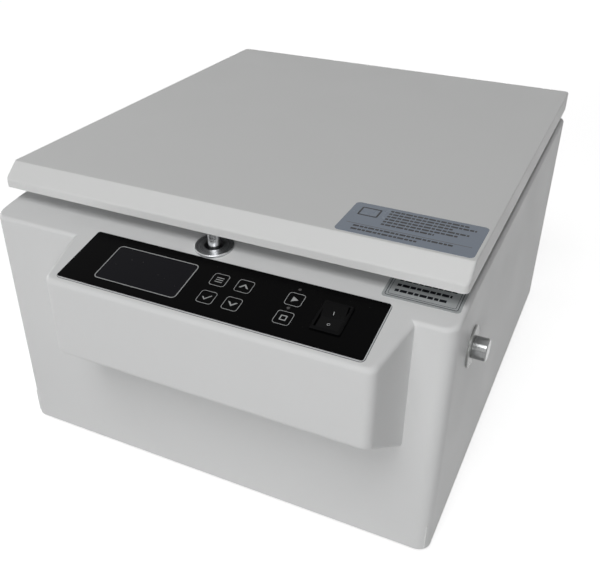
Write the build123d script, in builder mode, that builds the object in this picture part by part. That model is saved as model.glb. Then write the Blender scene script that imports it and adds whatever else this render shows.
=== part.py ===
from build123d import *
import os
from math import cos, radians, sin, tan

# Microplate centrifuge: a bench instrument with a hinged lid, a swing-out rotor for two
# microplates, a sloping control console and a lid latch with a release knob on the right.
# Millimetres. X runs to the right, Y to the back, Z up. The origin is the centre of the
# bottom of the bounding box, on the surface that the instrument stands on.

# ---------------------------------------------------------------- driving dimensions
housing_width = 430
housing_depth = 490
housing_height = 240
wall = 3
foot_height = 8
console_reach = 54
rear_reach = 4
cut_through = 40
knob_length = 12
knob_flange_thickness = 2
lid_height = 32
lid_gap = 12

# The bounding box runs from the console's front to the fan guard, and from the left wall to
# the end of the release knob.
knob_reach = knob_flange_thickness + knob_length
mid_x = -knob_reach / 2
front_y = console_reach - (console_reach + housing_depth + rear_reach) / 2
back_y = front_y + housing_depth
base_z = foot_height
deck_z = base_z + housing_height
right_x = mid_x + housing_width / 2
left_x = mid_x - housing_width / 2
lid_top_z = deck_z + lid_height
lid_lip_z = deck_z + lid_gap

# Casing: the deck falls towards the front at the panel's angle from a softly rounded crease.
panel_tilt = radians(12)
crease_depth = 38
crease_radius = 285
crease_y = front_y + crease_depth
deck_front_z = deck_z - crease_depth * tan(panel_tilt)
corner_radius = 12
deck_edge_radius = 4

# Console
console_root_left = mid_x - 125
console_root_right = mid_x + 183
console_inset = 11
console_lip_z = base_z + 147.5
console_root_z = base_z + 110
console_overlap = 14
console_corner_radius = 9
console_edge_radius = 5
panel = Plane(
    origin=(mid_x, front_y, deck_front_z),
    x_dir=(1, 0, 0),
    z_dir=(0, -sin(panel_tilt), cos(panel_tilt)),
)
panel_normal = Axis(panel.origin, panel.z_dir)

# Control panel, in the panel plane: x from the housing's middle, y up the slope
film_width = 266
film_length = 60
film_centre = (28.5, -19)
film_thickness = 1.2
window_width = 76
window_length = 40
window_centre = (-36, -19.5)
window_corner = 4
key_size = 12.4
key_gap = 0.25
key_travel = 0.5
key_depth = 2.0
key_places = {
    "key_set": (25.8, -9),
    "key_confirm": (25.8, -29.7),
    "key_up": (48, -9),
    "key_down": (48, -29.7),
    "key_start": (91.3, -9),
    "key_stop": (91.3, -29.7),
}
key_window_centre = (58.5, -19.4)
key_window_width = 92
key_window_length = 42
board_depth = 9
board_thickness = 1.6
switch_centre = (125.5, -17.8)
bezel_width = 24.5
bezel_length = 31
bezel_thickness = 2
switch_body_width = 21.6
switch_body_length = 28.4
switch_body_depth = 24
rocker_width = 18.6
rocker_radius = 12.6
rocker_pivot_depth = 4.5
rocker_angle = 12
rocker_waist = 2.5
rocker_axle_radius = 1.5

# Lid: a shallow steel pan with a bevelled front, closed below by a liner
lid_half_width = 214
lid_sheet = 2
lid_front_y = front_y + 20.5
lid_back_y = front_y + 484
lid_bevel_run = 15.2
lid_bevel_drop = 12.8
lid_corner_radius = 5
lid_edge_radius = 2.5
liner_bottom_z = lid_lip_z + 3.5
liner_thickness = 1.5

# Hinges
hinge_y = front_y + 478
hinge_z = deck_z + 8.5
hinge_spacing = 250
hinge_width = 60
knuckle_radius = 5.5
knuckle_split = 20
hinge_pin_radius = 2.5
running_clearance = 0.05
leaf_thickness = 2.5
leaf_reach = 36

# Chamber
chamber_y = front_y + 262
chamber_radius = 172
bowl_sheet = 1.5
bowl_floor_z = base_z + 112
bowl_rim_radius = 183
deck_hole_radius = 175
seal_gap = 0.4
guard_radius = 176.5
guard_thickness = 2.5
chamber_section = Plane(origin=(mid_x, chamber_y, 0), x_dir=(1, 0, 0), z_dir=(0, -1, 0))
chamber_axis = Axis((mid_x, chamber_y, 0), (0, 0, 1))

# Rotor and carriers
trunnion_z = base_z + 190
trunnion_reach = 86
trunnion_radius = 5
beam_inner = 71
beam_thickness = 9
beam_length = 204
beam_height = 22
hub_radius = 26
hub_height = 30
shaft_radius = 6
stud_radius = 4
carrier_length = 134
carrier_width = 92
carrier_depth = 52
carrier_rise = 4
carrier_end = 6
carrier_side = 2.5
carrier_floor = 3

# Motor
motor_radius = 55
motor_bottom_z = base_z + 14
motor_plate_z = base_z + 58
motor_plate_thickness = 4
motor_flange_radius = 68
motor_flange_thickness = 8
motor_bell_radius = 46
motor_top_z = base_z + 92

# Latch
latch_y = front_y + 28
latch_pin_radius = 5.5
latch_hole_radius = 8.5
latch_sleeve_radius = 10
latch_tip_z = base_z + 204
escutcheon_radius = 16.5
escutcheon_thickness = 2.5
escutcheon_tilt = radians(8)
latch_deck_z = deck_z - 2.8
knob_y = front_y + 63
knob_z = base_z + 180
knob_radius = 9.5
knob_flange_radius = 18
rod_radius = 4
release_travel = 8

# Rear wall
inlet_x = mid_x + 140
inlet_z = base_z + 52
fan_x = mid_x - 120
fan_z = base_z + 78
fan_size = 80
fan_depth = 25

os.makedirs("parts", exist_ok=True)


# ---------------------------------------------------------------- casing
def casing_form(inset, bottom_z):
    """Return the plain casing without the console, drawn in by an inset on every side."""
    with BuildPart() as form:
        with BuildSketch(Plane.YZ.offset(mid_x)):
            with BuildLine():
                Polyline(
                    (front_y + inset, bottom_z),
                    (front_y + inset, deck_front_z + inset * tan(panel_tilt) - inset / cos(panel_tilt)),
                    (crease_y, deck_z - inset / cos(panel_tilt)),
                    (back_y - inset, deck_z - inset / cos(panel_tilt)),
                    (back_y - inset, bottom_z),
                    close=True,
                )
            make_face()
        extrude(amount=housing_width / 2 - inset, both=True)
        crease = form.edges().filter_by(Axis.X).filter_by_position(Axis.Y, crease_y - 1, crease_y + 1)
        fillet(crease, crease_radius)
        fillet(form.edges().filter_by(Axis.Z), corner_radius - inset)
        if inset < deck_edge_radius - 1:
            rim = form.edges().filter_by_position(Axis.Z, deck_front_z - 4, deck_z + 1)
            upright = form.edges().filter_by(Axis.Z)
            across = [e for e in rim if e not in upright and not is_crease(e)]
            fillet(across, deck_edge_radius - inset)
    return form.part


def is_crease(edge):
    """Tell whether an edge is one of the two lines across the deck at the ends of its curve."""
    middle = edge.center()
    runs_across = edge.length > housing_width - 60
    return runs_across and front_y + 3 < middle.Y < back_y - 10


def console_form(inset):
    """Return the console, whose top lies in the panel plane, drawn in by an inset."""
    run_back = front_y + console_overlap
    with BuildPart() as form:
        with BuildSketch(Plane.XY.offset(console_root_z - cut_through)):
            with BuildLine():
                Polyline(
                    (console_root_left + inset, run_back),
                    (console_root_left + inset, front_y),
                    (console_root_left + console_inset + inset, front_y - console_reach + inset),
                    (console_root_right - console_inset - inset, front_y - console_reach + inset),
                    (console_root_right - inset, front_y),
                    (console_root_right - inset, run_back),
                    close=True,
                )
            make_face()
        extrude(amount=deck_z - console_root_z + 2 * cut_through)
        with BuildSketch(Plane.YZ.offset(mid_x)):
            top_drop = inset / cos(panel_tilt)
            slope = tan(panel_tilt)
            floor_slope = (console_lip_z - console_root_z) / console_reach
            lip_y = front_y - console_reach + inset
            lip_top_z = deck_front_z - (console_reach - inset) * slope - top_drop
            with BuildLine():
                Polyline(
                    (lip_y, console_lip_z + inset * (1 - floor_slope)),
                    (lip_y, lip_top_z),
                    (run_back, deck_front_z + console_overlap * slope - top_drop),
                    (run_back, console_root_z - console_overlap * floor_slope + inset),
                    close=True,
                )
            make_face()
        extrude(amount=housing_width, both=True, mode=Mode.INTERSECT)
        front_face = form.faces().sort_by(Axis.Y)[0]
        uprights = front_face.edges().filter_by(Axis.Z)
        fillet(uprights, console_corner_radius - inset)
        if inset == 0:
            front_face = form.faces().sort_by(Axis.Y)[0]
            top_edge = front_face.edges().sort_by(Axis.Z)[-1]
            fillet(top_edge, console_edge_radius)
            front_face = form.faces().sort_by(Axis.Y)[0]
            bottom_edge = front_face.edges().sort_by(Axis.Z)[0]
            fillet(bottom_edge, console_edge_radius)
    return form.part


outer_casing = casing_form(0, base_z)
inner_casing = casing_form(wall, base_z - 1)
outer_console = console_form(0)
inner_console = console_form(wall)
latch_seat = Plane(
    origin=(mid_x, latch_y, latch_deck_z),
    x_dir=(1, 0, 0),
    z_dir=(0, -sin(escutcheon_tilt), cos(escutcheon_tilt)),
)
boss_size = 18
boss_height = 26
boss_x = housing_width / 2 - wall - boss_size / 2
boss_inset = wall + boss_size / 2
boss_places = [
    (mid_x + side * boss_x, y)
    for side in (-1, 1)
    for y in (front_y + boss_inset, back_y - boss_inset)
]
foot_inset = 42
foot_places = [
    (mid_x + side * (housing_width / 2 - foot_inset), y)
    for side in (-1, 1)
    for y in (front_y + foot_inset, back_y - foot_inset)
]
pan_thickness = 2
base_screw_radius = 2
base_screw_depth = 14
screw_head_radius = 4
screw_head_height = 2.2
seat_clearance = 0.2
seat_recess = 0.5
window_ledge = 3
switch_clearance = 0.2
bushing_radius = 7.8
inlet_cut_width = 28
inlet_cut_height = 46
fan_bore = fan_size / 2 - 2

with BuildPart() as housing:
    add(outer_casing)
    add(outer_console)
    add(inner_casing, mode=Mode.SUBTRACT)
    add(inner_console, mode=Mode.SUBTRACT)
    with BuildSketch(Plane.XY.offset(base_z + pan_thickness)):
        with Locations(*boss_places):
            Rectangle(boss_size, boss_size)
    extrude(amount=boss_height)
    with BuildSketch(Plane.XY.offset(base_z + pan_thickness)):
        with Locations(*boss_places):
            Circle(base_screw_radius)
    extrude(amount=base_screw_depth, mode=Mode.SUBTRACT)
    with BuildSketch(Plane.XY.offset(deck_z - cut_through / 2)):
        with Locations((mid_x, chamber_y)):
            Circle(deck_hole_radius)
    extrude(amount=cut_through, mode=Mode.SUBTRACT)
    with BuildSketch(latch_seat.offset(-seat_recess)):
        Circle(escutcheon_radius + seat_clearance)
    extrude(amount=2 * escutcheon_thickness, mode=Mode.SUBTRACT)
    with BuildSketch(Plane.XY.offset(latch_deck_z - cut_through / 2)):
        with Locations((mid_x, latch_y)):
            Circle(latch_sleeve_radius + seat_clearance)
    extrude(amount=cut_through, mode=Mode.SUBTRACT)
    with BuildSketch(panel):
        with Locations(window_centre):
            Rectangle(window_width - 2 * window_ledge, window_length - 2 * window_ledge)
        with Locations(key_window_centre):
            Rectangle(key_window_width, key_window_length)
        with Locations(switch_centre):
            Rectangle(switch_body_width + 2 * switch_clearance, switch_body_length + 2 * switch_clearance)
    extrude(amount=2 * wall, both=True, mode=Mode.SUBTRACT)
    with BuildSketch(Plane.YZ.offset(right_x - cut_through / 2)):
        with Locations((knob_y, knob_z)):
            Circle(bushing_radius + seat_clearance)
    extrude(amount=cut_through, mode=Mode.SUBTRACT)
    with BuildSketch(Plane.XZ.offset(-back_y - cut_through / 2)):
        with Locations((inlet_x, inlet_z)):
            Rectangle(inlet_cut_width, inlet_cut_height)
        with Locations((fan_x, fan_z)):
            Circle(fan_bore)
    extrude(amount=cut_through, mode=Mode.SUBTRACT)
housing.part.label = "housing"
export_step(housing.part, "parts/housing.step")

pan_margin = 0.5
pan_half_x = housing_width / 2 - wall - pan_margin
pan_front = front_y + wall + pan_margin
pan_back = back_y - wall - pan_margin
vent_length = 48
vent_width = 5
vent_spacing = 58
vent_pitch = 12
vent_rows = 9
with BuildPart() as base_pan:
    with BuildSketch(Plane.XY.offset(base_z)):
        with Locations((mid_x, (pan_front + pan_back) / 2)):
            RectangleRounded(2 * pan_half_x, pan_back - pan_front, corner_radius - wall)
    extrude(amount=pan_thickness)
    with BuildSketch(Plane.XY.offset(base_z)):
        with Locations((mid_x, chamber_y)):
            with GridLocations(vent_spacing, vent_pitch, 2, vent_rows):
                SlotOverall(vent_length, vent_width)
        with Locations(*boss_places, *foot_places):
            Circle(base_screw_radius)
    extrude(amount=pan_thickness, mode=Mode.SUBTRACT)
base_pan.part.label = "base_pan"
export_step(base_pan.part, "parts/base_pan.step")

foot_radius = 18
foot_recess_radius = 9
foot_floor = 3
foot_chamfer = 1.5
with BuildPart() as rubber_feet:
    with BuildSketch(Plane.XY):
        with Locations(*foot_places):
            Circle(foot_radius)
    extrude(amount=foot_height)
    chamfer(rubber_feet.edges().group_by(Axis.Z)[0], foot_chamfer)
    with BuildSketch(Plane.XY):
        with Locations(*foot_places):
            Circle(foot_recess_radius)
    extrude(amount=foot_height - foot_floor, mode=Mode.SUBTRACT)
    with BuildSketch(Plane.XY):
        with Locations(*foot_places):
            Circle(base_screw_radius)
    extrude(amount=foot_height, mode=Mode.SUBTRACT)
rubber_feet.part.label = "rubber_feet"
export_step(rubber_feet.part, "parts/rubber_feet.step")

screw_head_round = 1.2
with BuildPart() as base_screws:
    with BuildSketch(Plane.XY.offset(base_z - screw_head_height)):
        with Locations(*boss_places):
            Circle(screw_head_radius)
    with BuildSketch(Plane.XY.offset(foot_height - foot_floor - screw_head_height)):
        with Locations(*foot_places):
            Circle(screw_head_radius)
    extrude(amount=screw_head_height)
    heads = base_screws.edges().filter_by(GeomType.CIRCLE)
    lowest = base_z - screw_head_height
    fillet(heads.filter_by_position(Axis.Z, lowest - 0.1, lowest + 0.1), screw_head_round)
    lowest_foot = lowest - foot_floor
    fillet(heads.filter_by_position(Axis.Z, lowest_foot - 0.1, lowest_foot + 0.1), screw_head_round)
    with BuildSketch(Plane.XY.offset(base_z)):
        with Locations(*boss_places):
            Circle(base_screw_radius)
    extrude(amount=pan_thickness + base_screw_depth)
    with BuildSketch(Plane.XY.offset(base_z - foot_floor)):
        with Locations(*foot_places):
            Circle(base_screw_radius)
    extrude(amount=foot_floor + pan_thickness)
base_screws.part.label = "base_screws"
export_step(base_screws.part, "parts/base_screws.step")

# ---------------------------------------------------------------- chamber
boot_hole_radius = 24
floor_corner = 20
with BuildPart() as chamber_bowl:
    with BuildSketch(chamber_section):
        with BuildLine():
            outer = chamber_radius + bowl_sheet
            under = bowl_floor_z - bowl_sheet
            Line((boot_hole_radius, under), (outer - floor_corner, under))
            RadiusArc((outer - floor_corner, under), (outer, under + floor_corner), -floor_corner)
            Polyline(
                (outer, under + floor_corner),
                (outer, deck_z),
                (bowl_rim_radius, deck_z),
                (bowl_rim_radius, deck_z + bowl_sheet),
                (chamber_radius, deck_z + bowl_sheet),
                (chamber_radius, bowl_floor_z + floor_corner - bowl_sheet),
            )
            RadiusArc(
                (chamber_radius, bowl_floor_z + floor_corner - bowl_sheet),
                (chamber_radius - floor_corner + bowl_sheet, bowl_floor_z),
                floor_corner - bowl_sheet,
            )
            Polyline(
                (chamber_radius - floor_corner + bowl_sheet, bowl_floor_z),
                (boot_hole_radius, bowl_floor_z),
                (boot_hole_radius, under),
            )
        make_face()
    revolve(axis=chamber_axis)
chamber_bowl.part.label = "chamber_bowl"
export_step(chamber_bowl.part, "parts/chamber_bowl.step")

seal_inner = chamber_radius + 2
seal_outer = bowl_rim_radius + 1
seal_top_z = liner_bottom_z - seal_gap
seal_low_z = deck_z + bowl_sheet
seal_mid = (seal_inner + seal_outer) / 2
bead_radius = 3.5
bead_z = seal_top_z - bead_radius
with BuildPart() as chamber_seal:
    with BuildSketch(chamber_section):
        with BuildLine():
            Polyline(
                (seal_mid - bead_radius, bead_z),
                (seal_inner, bead_z - bead_radius),
                (seal_inner, seal_low_z),
                (seal_outer, seal_low_z),
                (seal_outer, bead_z - bead_radius),
                (seal_mid + bead_radius, bead_z),
            )
            ThreePointArc(
                (seal_mid + bead_radius, bead_z),
                (seal_mid, seal_top_z),
                (seal_mid - bead_radius, bead_z),
            )
        make_face()
    revolve(axis=chamber_axis)
chamber_seal.part.label = "chamber_seal"
export_step(chamber_seal.part, "parts/chamber_seal.step")

guard_top_z = deck_z - wall - 1
air_window_height = 34
air_window_length = 96
air_window_z = base_z + 44
with BuildPart() as guard_ring:
    with BuildSketch(Plane.XY.offset(base_z + pan_thickness)):
        with Locations((mid_x, chamber_y)):
            Circle(guard_radius + guard_thickness)
            Circle(guard_radius, mode=Mode.SUBTRACT)
    extrude(amount=guard_top_z - base_z - pan_thickness)
    for turn in (0, 60, 120):
        window_plane = Plane(
            origin=(mid_x, chamber_y, air_window_z),
            x_dir=(-sin(radians(turn)), cos(radians(turn)), 0),
            z_dir=(cos(radians(turn)), sin(radians(turn)), 0),
        )
        with BuildSketch(window_plane):
            SlotOverall(air_window_length, air_window_height)
        extrude(amount=guard_radius + cut_through, both=True, mode=Mode.SUBTRACT)
guard_ring.part.label = "guard_ring"
export_step(guard_ring.part, "parts/guard_ring.step")

# ---------------------------------------------------------------- motor
damper_radius = 13
damper_waist = 10
damper_end = 12
damper_spread = 84
damper_places = [
    (mid_x + sx * damper_spread, chamber_y + sy * damper_spread) for sx in (-1, 1) for sy in (-1, 1)
]
with BuildPart() as vibration_dampers:
    with BuildSketch(Plane.XY.offset(base_z + pan_thickness)):
        with Locations(*damper_places):
            Circle(damper_radius)
    extrude(amount=motor_plate_z - base_z - pan_thickness)
    with BuildSketch(Plane.XY.offset(base_z + pan_thickness + damper_end)):
        with Locations(*damper_places):
            Circle(damper_radius)
            Circle(damper_waist, mode=Mode.SUBTRACT)
    extrude(amount=motor_plate_z - base_z - pan_thickness - 2 * damper_end, mode=Mode.SUBTRACT)
vibration_dampers.part.label = "vibration_dampers"
export_step(vibration_dampers.part, "parts/vibration_dampers.step")

plate_size = 204
plate_corner = 22
with BuildPart() as motor_plate:
    with BuildSketch(Plane.XY.offset(motor_plate_z)):
        with Locations((mid_x, chamber_y)):
            RectangleRounded(plate_size, plate_size, plate_corner)
            Circle(motor_radius + 1, mode=Mode.SUBTRACT)
    extrude(amount=motor_plate_thickness)
motor_plate.part.label = "motor_plate"
export_step(motor_plate.part, "parts/motor_plate.step")

bolt_head_radius = 6.5
bolt_head_height = 5
with BuildPart() as damper_bolts:
    with BuildSketch(Plane.XY.offset(motor_plate_z + motor_plate_thickness)):
        with Locations(*damper_places):
            RegularPolygon(bolt_head_radius, 6)
    extrude(amount=bolt_head_height)
damper_bolts.part.label = "damper_bolts"
export_step(damper_bolts.part, "parts/damper_bolts.step")

flange_top_z = motor_plate_z + motor_plate_thickness + motor_flange_thickness
motor_nose_radius = 16
motor_nose_height = 6
bearing_floor = 10
fin_start = 8
fin_end = 6
fin_depth = 8
fin_width = 3
fin_count = 30
with BuildPart() as motor_body:
    with BuildSketch(Plane.XY.offset(motor_bottom_z)):
        with Locations((mid_x, chamber_y)):
            Circle(motor_radius)
    extrude(amount=flange_top_z - motor_bottom_z)
    with BuildSketch(Plane.XY.offset(motor_bottom_z + fin_start)):
        with Locations((mid_x, chamber_y)):
            with PolarLocations(motor_radius - 1, fin_count):
                Rectangle(fin_depth, fin_width)
    extrude(amount=motor_plate_z - motor_bottom_z - fin_start - fin_end)
    with BuildSketch(Plane.XY.offset(motor_plate_z + motor_plate_thickness)):
        with Locations((mid_x, chamber_y)):
            Circle(motor_flange_radius)
    extrude(amount=motor_flange_thickness)
    with BuildSketch(Plane.XY.offset(flange_top_z)):
        with Locations((mid_x, chamber_y)):
            Circle(motor_bell_radius)
    extrude(amount=motor_top_z - flange_top_z, taper=8)
    with BuildSketch(Plane.XY.offset(motor_top_z)):
        with Locations((mid_x, chamber_y)):
            Circle(motor_nose_radius)
    extrude(amount=motor_nose_height)
    with BuildSketch(Plane.XY.offset(motor_bottom_z + bearing_floor)):
        with Locations((mid_x, chamber_y)):
            Circle(shaft_radius + running_clearance)
    extrude(amount=motor_top_z - motor_bottom_z, mode=Mode.SUBTRACT)
motor_body.part.label = "motor_body"
export_step(motor_body.part, "parts/motor_body.step")

boot_low_z = motor_top_z
boot_high_z = bowl_floor_z + 4
boot_neck = 16
boot_fold_inner = 19
boot_fold_outer = 22
boot_lip = 5
with BuildPart() as shaft_boot:
    with BuildSketch(chamber_section):
        with BuildLine():
            Polyline(
                (boot_neck, boot_low_z),
                (boot_fold_inner, boot_low_z),
                (boot_fold_inner, boot_low_z + 4),
                (boot_fold_outer, boot_low_z + 6),
                (boot_fold_inner, boot_low_z + 8),
                (boot_fold_outer, boot_low_z + 10),
                (boot_hole_radius, boot_low_z + 12),
                (boot_hole_radius, boot_high_z - 4),
                (boot_hole_radius + boot_lip, boot_high_z - 4),
                (boot_hole_radius + boot_lip, boot_high_z - 2),
                (boot_hole_radius - 2, boot_high_z),
                (boot_hole_radius - 2, boot_low_z + 13),
                (boot_fold_inner + 1, boot_low_z + 11),
                (boot_neck, boot_low_z + 8),
                close=True,
            )
        make_face()
    revolve(axis=chamber_axis)
shaft_boot.part.label = "shaft_boot"
export_step(shaft_boot.part, "parts/shaft_boot.step")

# ---------------------------------------------------------------- rotor
hub_low_z = trunnion_z - hub_height / 2
hub_high_z = trunnion_z + hub_height / 2
shaft_low_z = motor_bottom_z + bearing_floor + 1
stud_height = 12
with BuildPart() as motor_shaft:
    with BuildSketch(Plane.XY.offset(shaft_low_z)):
        with Locations((mid_x, chamber_y)):
            Circle(shaft_radius)
    extrude(amount=hub_high_z - shaft_low_z)
    with BuildSketch(Plane.XY.offset(hub_high_z)):
        with Locations((mid_x, chamber_y)):
            Circle(stud_radius)
    extrude(amount=stud_height)
motor_shaft.part.label = "motor_shaft"
export_step(motor_shaft.part, "parts/motor_shaft.step")

beam_x = beam_inner + beam_thickness / 2
beam_end_radius = 8
beam_root_length = 70
beam_root_thickness = 17
crossbar_width = 34
lightening_radius = 6
lightening_y = 52
trunnion_places = [(chamber_y + side * trunnion_reach, trunnion_z) for side in (-1, 1)]
with BuildPart() as rotor_yoke:
    with BuildSketch(Plane.XY.offset(trunnion_z - beam_height / 2)):
        with Locations((mid_x, chamber_y)):
            Rectangle(2 * beam_inner + 2, crossbar_width)
            with Locations((-beam_x, 0), (beam_x, 0)):
                Rectangle(beam_thickness, beam_length)
                RectangleRounded(beam_root_thickness, beam_root_length, 4)
    extrude(amount=beam_height)
    with BuildSketch(Plane.XY.offset(hub_low_z)):
        with Locations((mid_x, chamber_y)):
            Circle(hub_radius)
    extrude(amount=hub_height)
    beam_ends = rotor_yoke.edges().filter_by(Axis.X).filter_by_position(
        Axis.Y, chamber_y + beam_length / 2 - 1, chamber_y + beam_length / 2 + 1
    )
    fillet(beam_ends, beam_end_radius)
    beam_fronts = rotor_yoke.edges().filter_by(Axis.X).filter_by_position(
        Axis.Y, chamber_y - beam_length / 2 - 1, chamber_y - beam_length / 2 + 1
    )
    fillet(beam_fronts, beam_end_radius)
    with BuildSketch(Plane.XY.offset(hub_low_z)):
        with Locations((mid_x, chamber_y)):
            Circle(shaft_radius)
    extrude(amount=hub_height, mode=Mode.SUBTRACT)
    with BuildSketch(Plane.YZ.offset(mid_x)):
        with Locations(*trunnion_places):
            Circle(trunnion_radius)
    extrude(amount=beam_x + cut_through, both=True, mode=Mode.SUBTRACT)
    with BuildSketch(Plane.YZ.offset(mid_x)):
        with Locations((chamber_y - lightening_y, trunnion_z), (chamber_y + lightening_y, trunnion_z)):
            Circle(lightening_radius)
    extrude(amount=beam_x + cut_through, both=True, mode=Mode.SUBTRACT)
rotor_yoke.part.label = "rotor_yoke"
export_step(rotor_yoke.part, "parts/rotor_yoke.step")

nut_radius = 17
nut_height = 14
nut_round = 4
flute_radius = 1.2
flute_count = 24
with BuildPart() as rotor_nut:
    with BuildSketch(Plane.XY.offset(hub_high_z)):
        with Locations((mid_x, chamber_y)):
            Circle(nut_radius)
    extrude(amount=nut_height)
    fillet(rotor_nut.edges().group_by(Axis.Z)[-1], nut_round)
    with BuildSketch(Plane.XY.offset(hub_high_z)):
        with Locations((mid_x, chamber_y)):
            with PolarLocations(nut_radius + flute_radius / 2, flute_count):
                Circle(flute_radius)
    extrude(amount=nut_height - nut_round, mode=Mode.SUBTRACT)
    with BuildSketch(Plane.XY.offset(hub_high_z)):
        with Locations((mid_x, chamber_y)):
            Circle(stud_radius)
    extrude(amount=stud_height, mode=Mode.SUBTRACT)
rotor_nut.part.label = "rotor_nut"
export_step(rotor_nut.part, "parts/rotor_nut.step")

carrier_end_x = carrier_length / 2
pin_inner = carrier_end_x - carrier_end + 1
with BuildPart() as trunnion_pins:
    for side in (-1, 1):
        with BuildSketch(Plane.YZ.offset(mid_x + side * (pin_inner + beam_inner + beam_thickness) / 2)):
            with Locations(*trunnion_places):
                Circle(trunnion_radius)
        extrude(amount=(beam_inner + beam_thickness - pin_inner) / 2, both=True)
trunnion_pins.part.label = "trunnion_pins"
export_step(trunnion_pins.part, "parts/trunnion_pins.step")

carrier_corner = 5
finger_slot_length = 84
finger_slot_height = 22
finger_slot_drop = 14
end_slot_length = 46
end_slot_height = 14
end_slot_drop = 30


def plate_carrier(side):
    """Return the open-topped tray for one microplate, hanging from its two trunnion pins."""
    centre_y = chamber_y + side * trunnion_reach
    bottom_z = trunnion_z - carrier_depth
    height = carrier_depth + carrier_rise
    with BuildPart() as tray:
        with BuildSketch(Plane.XY.offset(bottom_z)):
            with Locations((mid_x, centre_y)):
                RectangleRounded(carrier_length, carrier_width, carrier_corner)
        extrude(amount=height)
        with BuildSketch(Plane.XY.offset(bottom_z + carrier_floor)):
            with Locations((mid_x, centre_y)):
                Rectangle(carrier_length - 2 * carrier_end, carrier_width - 2 * carrier_side)
        extrude(amount=height, mode=Mode.SUBTRACT)
        with BuildSketch(Plane.XZ.offset(-centre_y)):
            with Locations((mid_x, trunnion_z - finger_slot_drop)):
                SlotOverall(finger_slot_length, finger_slot_height)
        extrude(amount=carrier_width, both=True, mode=Mode.SUBTRACT)
        with BuildSketch(Plane.YZ.offset(mid_x)):
            with Locations((centre_y, trunnion_z)):
                Circle(trunnion_radius + running_clearance)
        extrude(amount=carrier_length, both=True, mode=Mode.SUBTRACT)
        with BuildSketch(Plane.YZ.offset(mid_x)):
            with Locations((centre_y, trunnion_z - end_slot_drop)):
                SlotOverall(end_slot_length, end_slot_height)
        extrude(amount=carrier_length, both=True, mode=Mode.SUBTRACT)
    return tray.part


with BuildPart() as plate_carrier_front:
    add(plate_carrier(-1))
plate_carrier_front.part.label = "plate_carrier_front"
export_step(plate_carrier_front.part, "parts/plate_carrier_front.step")

with BuildPart() as plate_carrier_rear:
    add(plate_carrier(1))
plate_carrier_rear.part.label = "plate_carrier_rear"
export_step(plate_carrier_rear.part, "parts/plate_carrier_rear.step")


# ---------------------------------------------------------------- lid
def lid_form(inset, bottom_z):
    """Return the lid's outer form drawn in by an inset, with its bevelled front."""
    bevel_shift = inset * (1 - lid_bevel_drop / (lid_bevel_run + lid_bevel_drop))
    with BuildPart() as form:
        with BuildSketch(Plane.YZ.offset(mid_x)):
            with BuildLine():
                Polyline(
                    (lid_front_y + inset, bottom_z),
                    (lid_front_y + inset, lid_top_z - lid_bevel_drop - bevel_shift),
                    (lid_front_y + lid_bevel_run + bevel_shift, lid_top_z - inset),
                    (lid_back_y - inset, lid_top_z - inset),
                    (lid_back_y - inset, bottom_z),
                    close=True,
                )
            make_face()
        extrude(amount=lid_half_width - inset, both=True)
        fillet(form.edges().filter_by(Axis.Z), max(lid_corner_radius - inset, 1))
        if inset == 0:
            bends = form.edges().filter_by(Axis.X).filter_by_position(
                Axis.Z, lid_top_z - lid_bevel_drop - 1, lid_top_z + 1
            )
            front_bends = [e for e in bends if e.center().Y < lid_back_y - 60]
            fillet(front_bends, lid_edge_radius)
            fillet(form.faces().sort_by(Axis.Z)[-1].edges(), lid_edge_radius - 1)
    return form.part


hinge_places = [mid_x - hinge_spacing / 2, mid_x + hinge_spacing / 2]
hinge_notch_width = hinge_width + 4
hinge_notch_height = 9
with BuildPart() as lid_shell:
    add(lid_form(0, lid_lip_z))
    add(lid_form(lid_sheet, lid_lip_z - 1), mode=Mode.SUBTRACT)
    with BuildSketch(Plane.XY.offset(lid_lip_z - 1)):
        with Locations(*[(x, lid_back_y) for x in hinge_places]):
            Rectangle(hinge_notch_width, 6 * lid_sheet)
    extrude(amount=1 + hinge_notch_height, mode=Mode.SUBTRACT)
lid_shell.part.label = "lid_shell"
export_step(lid_shell.part, "parts/lid_shell.step")

liner_front_y = lid_front_y + 3
liner_back_y = lid_back_y - 9
liner_half_width = lid_half_width - lid_sheet
stiffener_size = 300
stiffener_corner = 20
with BuildPart() as lid_liner:
    with BuildSketch(Plane.XY.offset(liner_bottom_z)):
        with Locations((mid_x, (liner_front_y + liner_back_y) / 2)):
            RectangleRounded(2 * liner_half_width - 2, liner_back_y - liner_front_y, 3)
    extrude(amount=liner_thickness)
    with BuildSketch(Plane.XY.offset(liner_bottom_z + liner_thickness)):
        with Locations((mid_x, chamber_y)):
            RectangleRounded(stiffener_size, stiffener_size, stiffener_corner)
            inside = stiffener_size - 2 * lid_sheet
            RectangleRounded(inside, inside, stiffener_corner - lid_sheet, mode=Mode.SUBTRACT)
    extrude(amount=lid_top_z - lid_sheet - liner_bottom_z - liner_thickness)
lid_liner.part.label = "lid_liner"
export_step(lid_liner.part, "parts/lid_liner.step")

lid_label_width = 110
lid_label_length = 53
label_thickness = 0.25
lid_label_centre = (mid_x + 156, front_y + 65)
with BuildPart() as lid_label:
    with BuildSketch(Plane.XY.offset(lid_top_z)):
        with Locations(lid_label_centre):
            RectangleRounded(lid_label_width, lid_label_length, 4)
    extrude(amount=label_thickness)
lid_label.part.label = "lid_label"
export_step(lid_label.part, "parts/lid_label.step")

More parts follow.
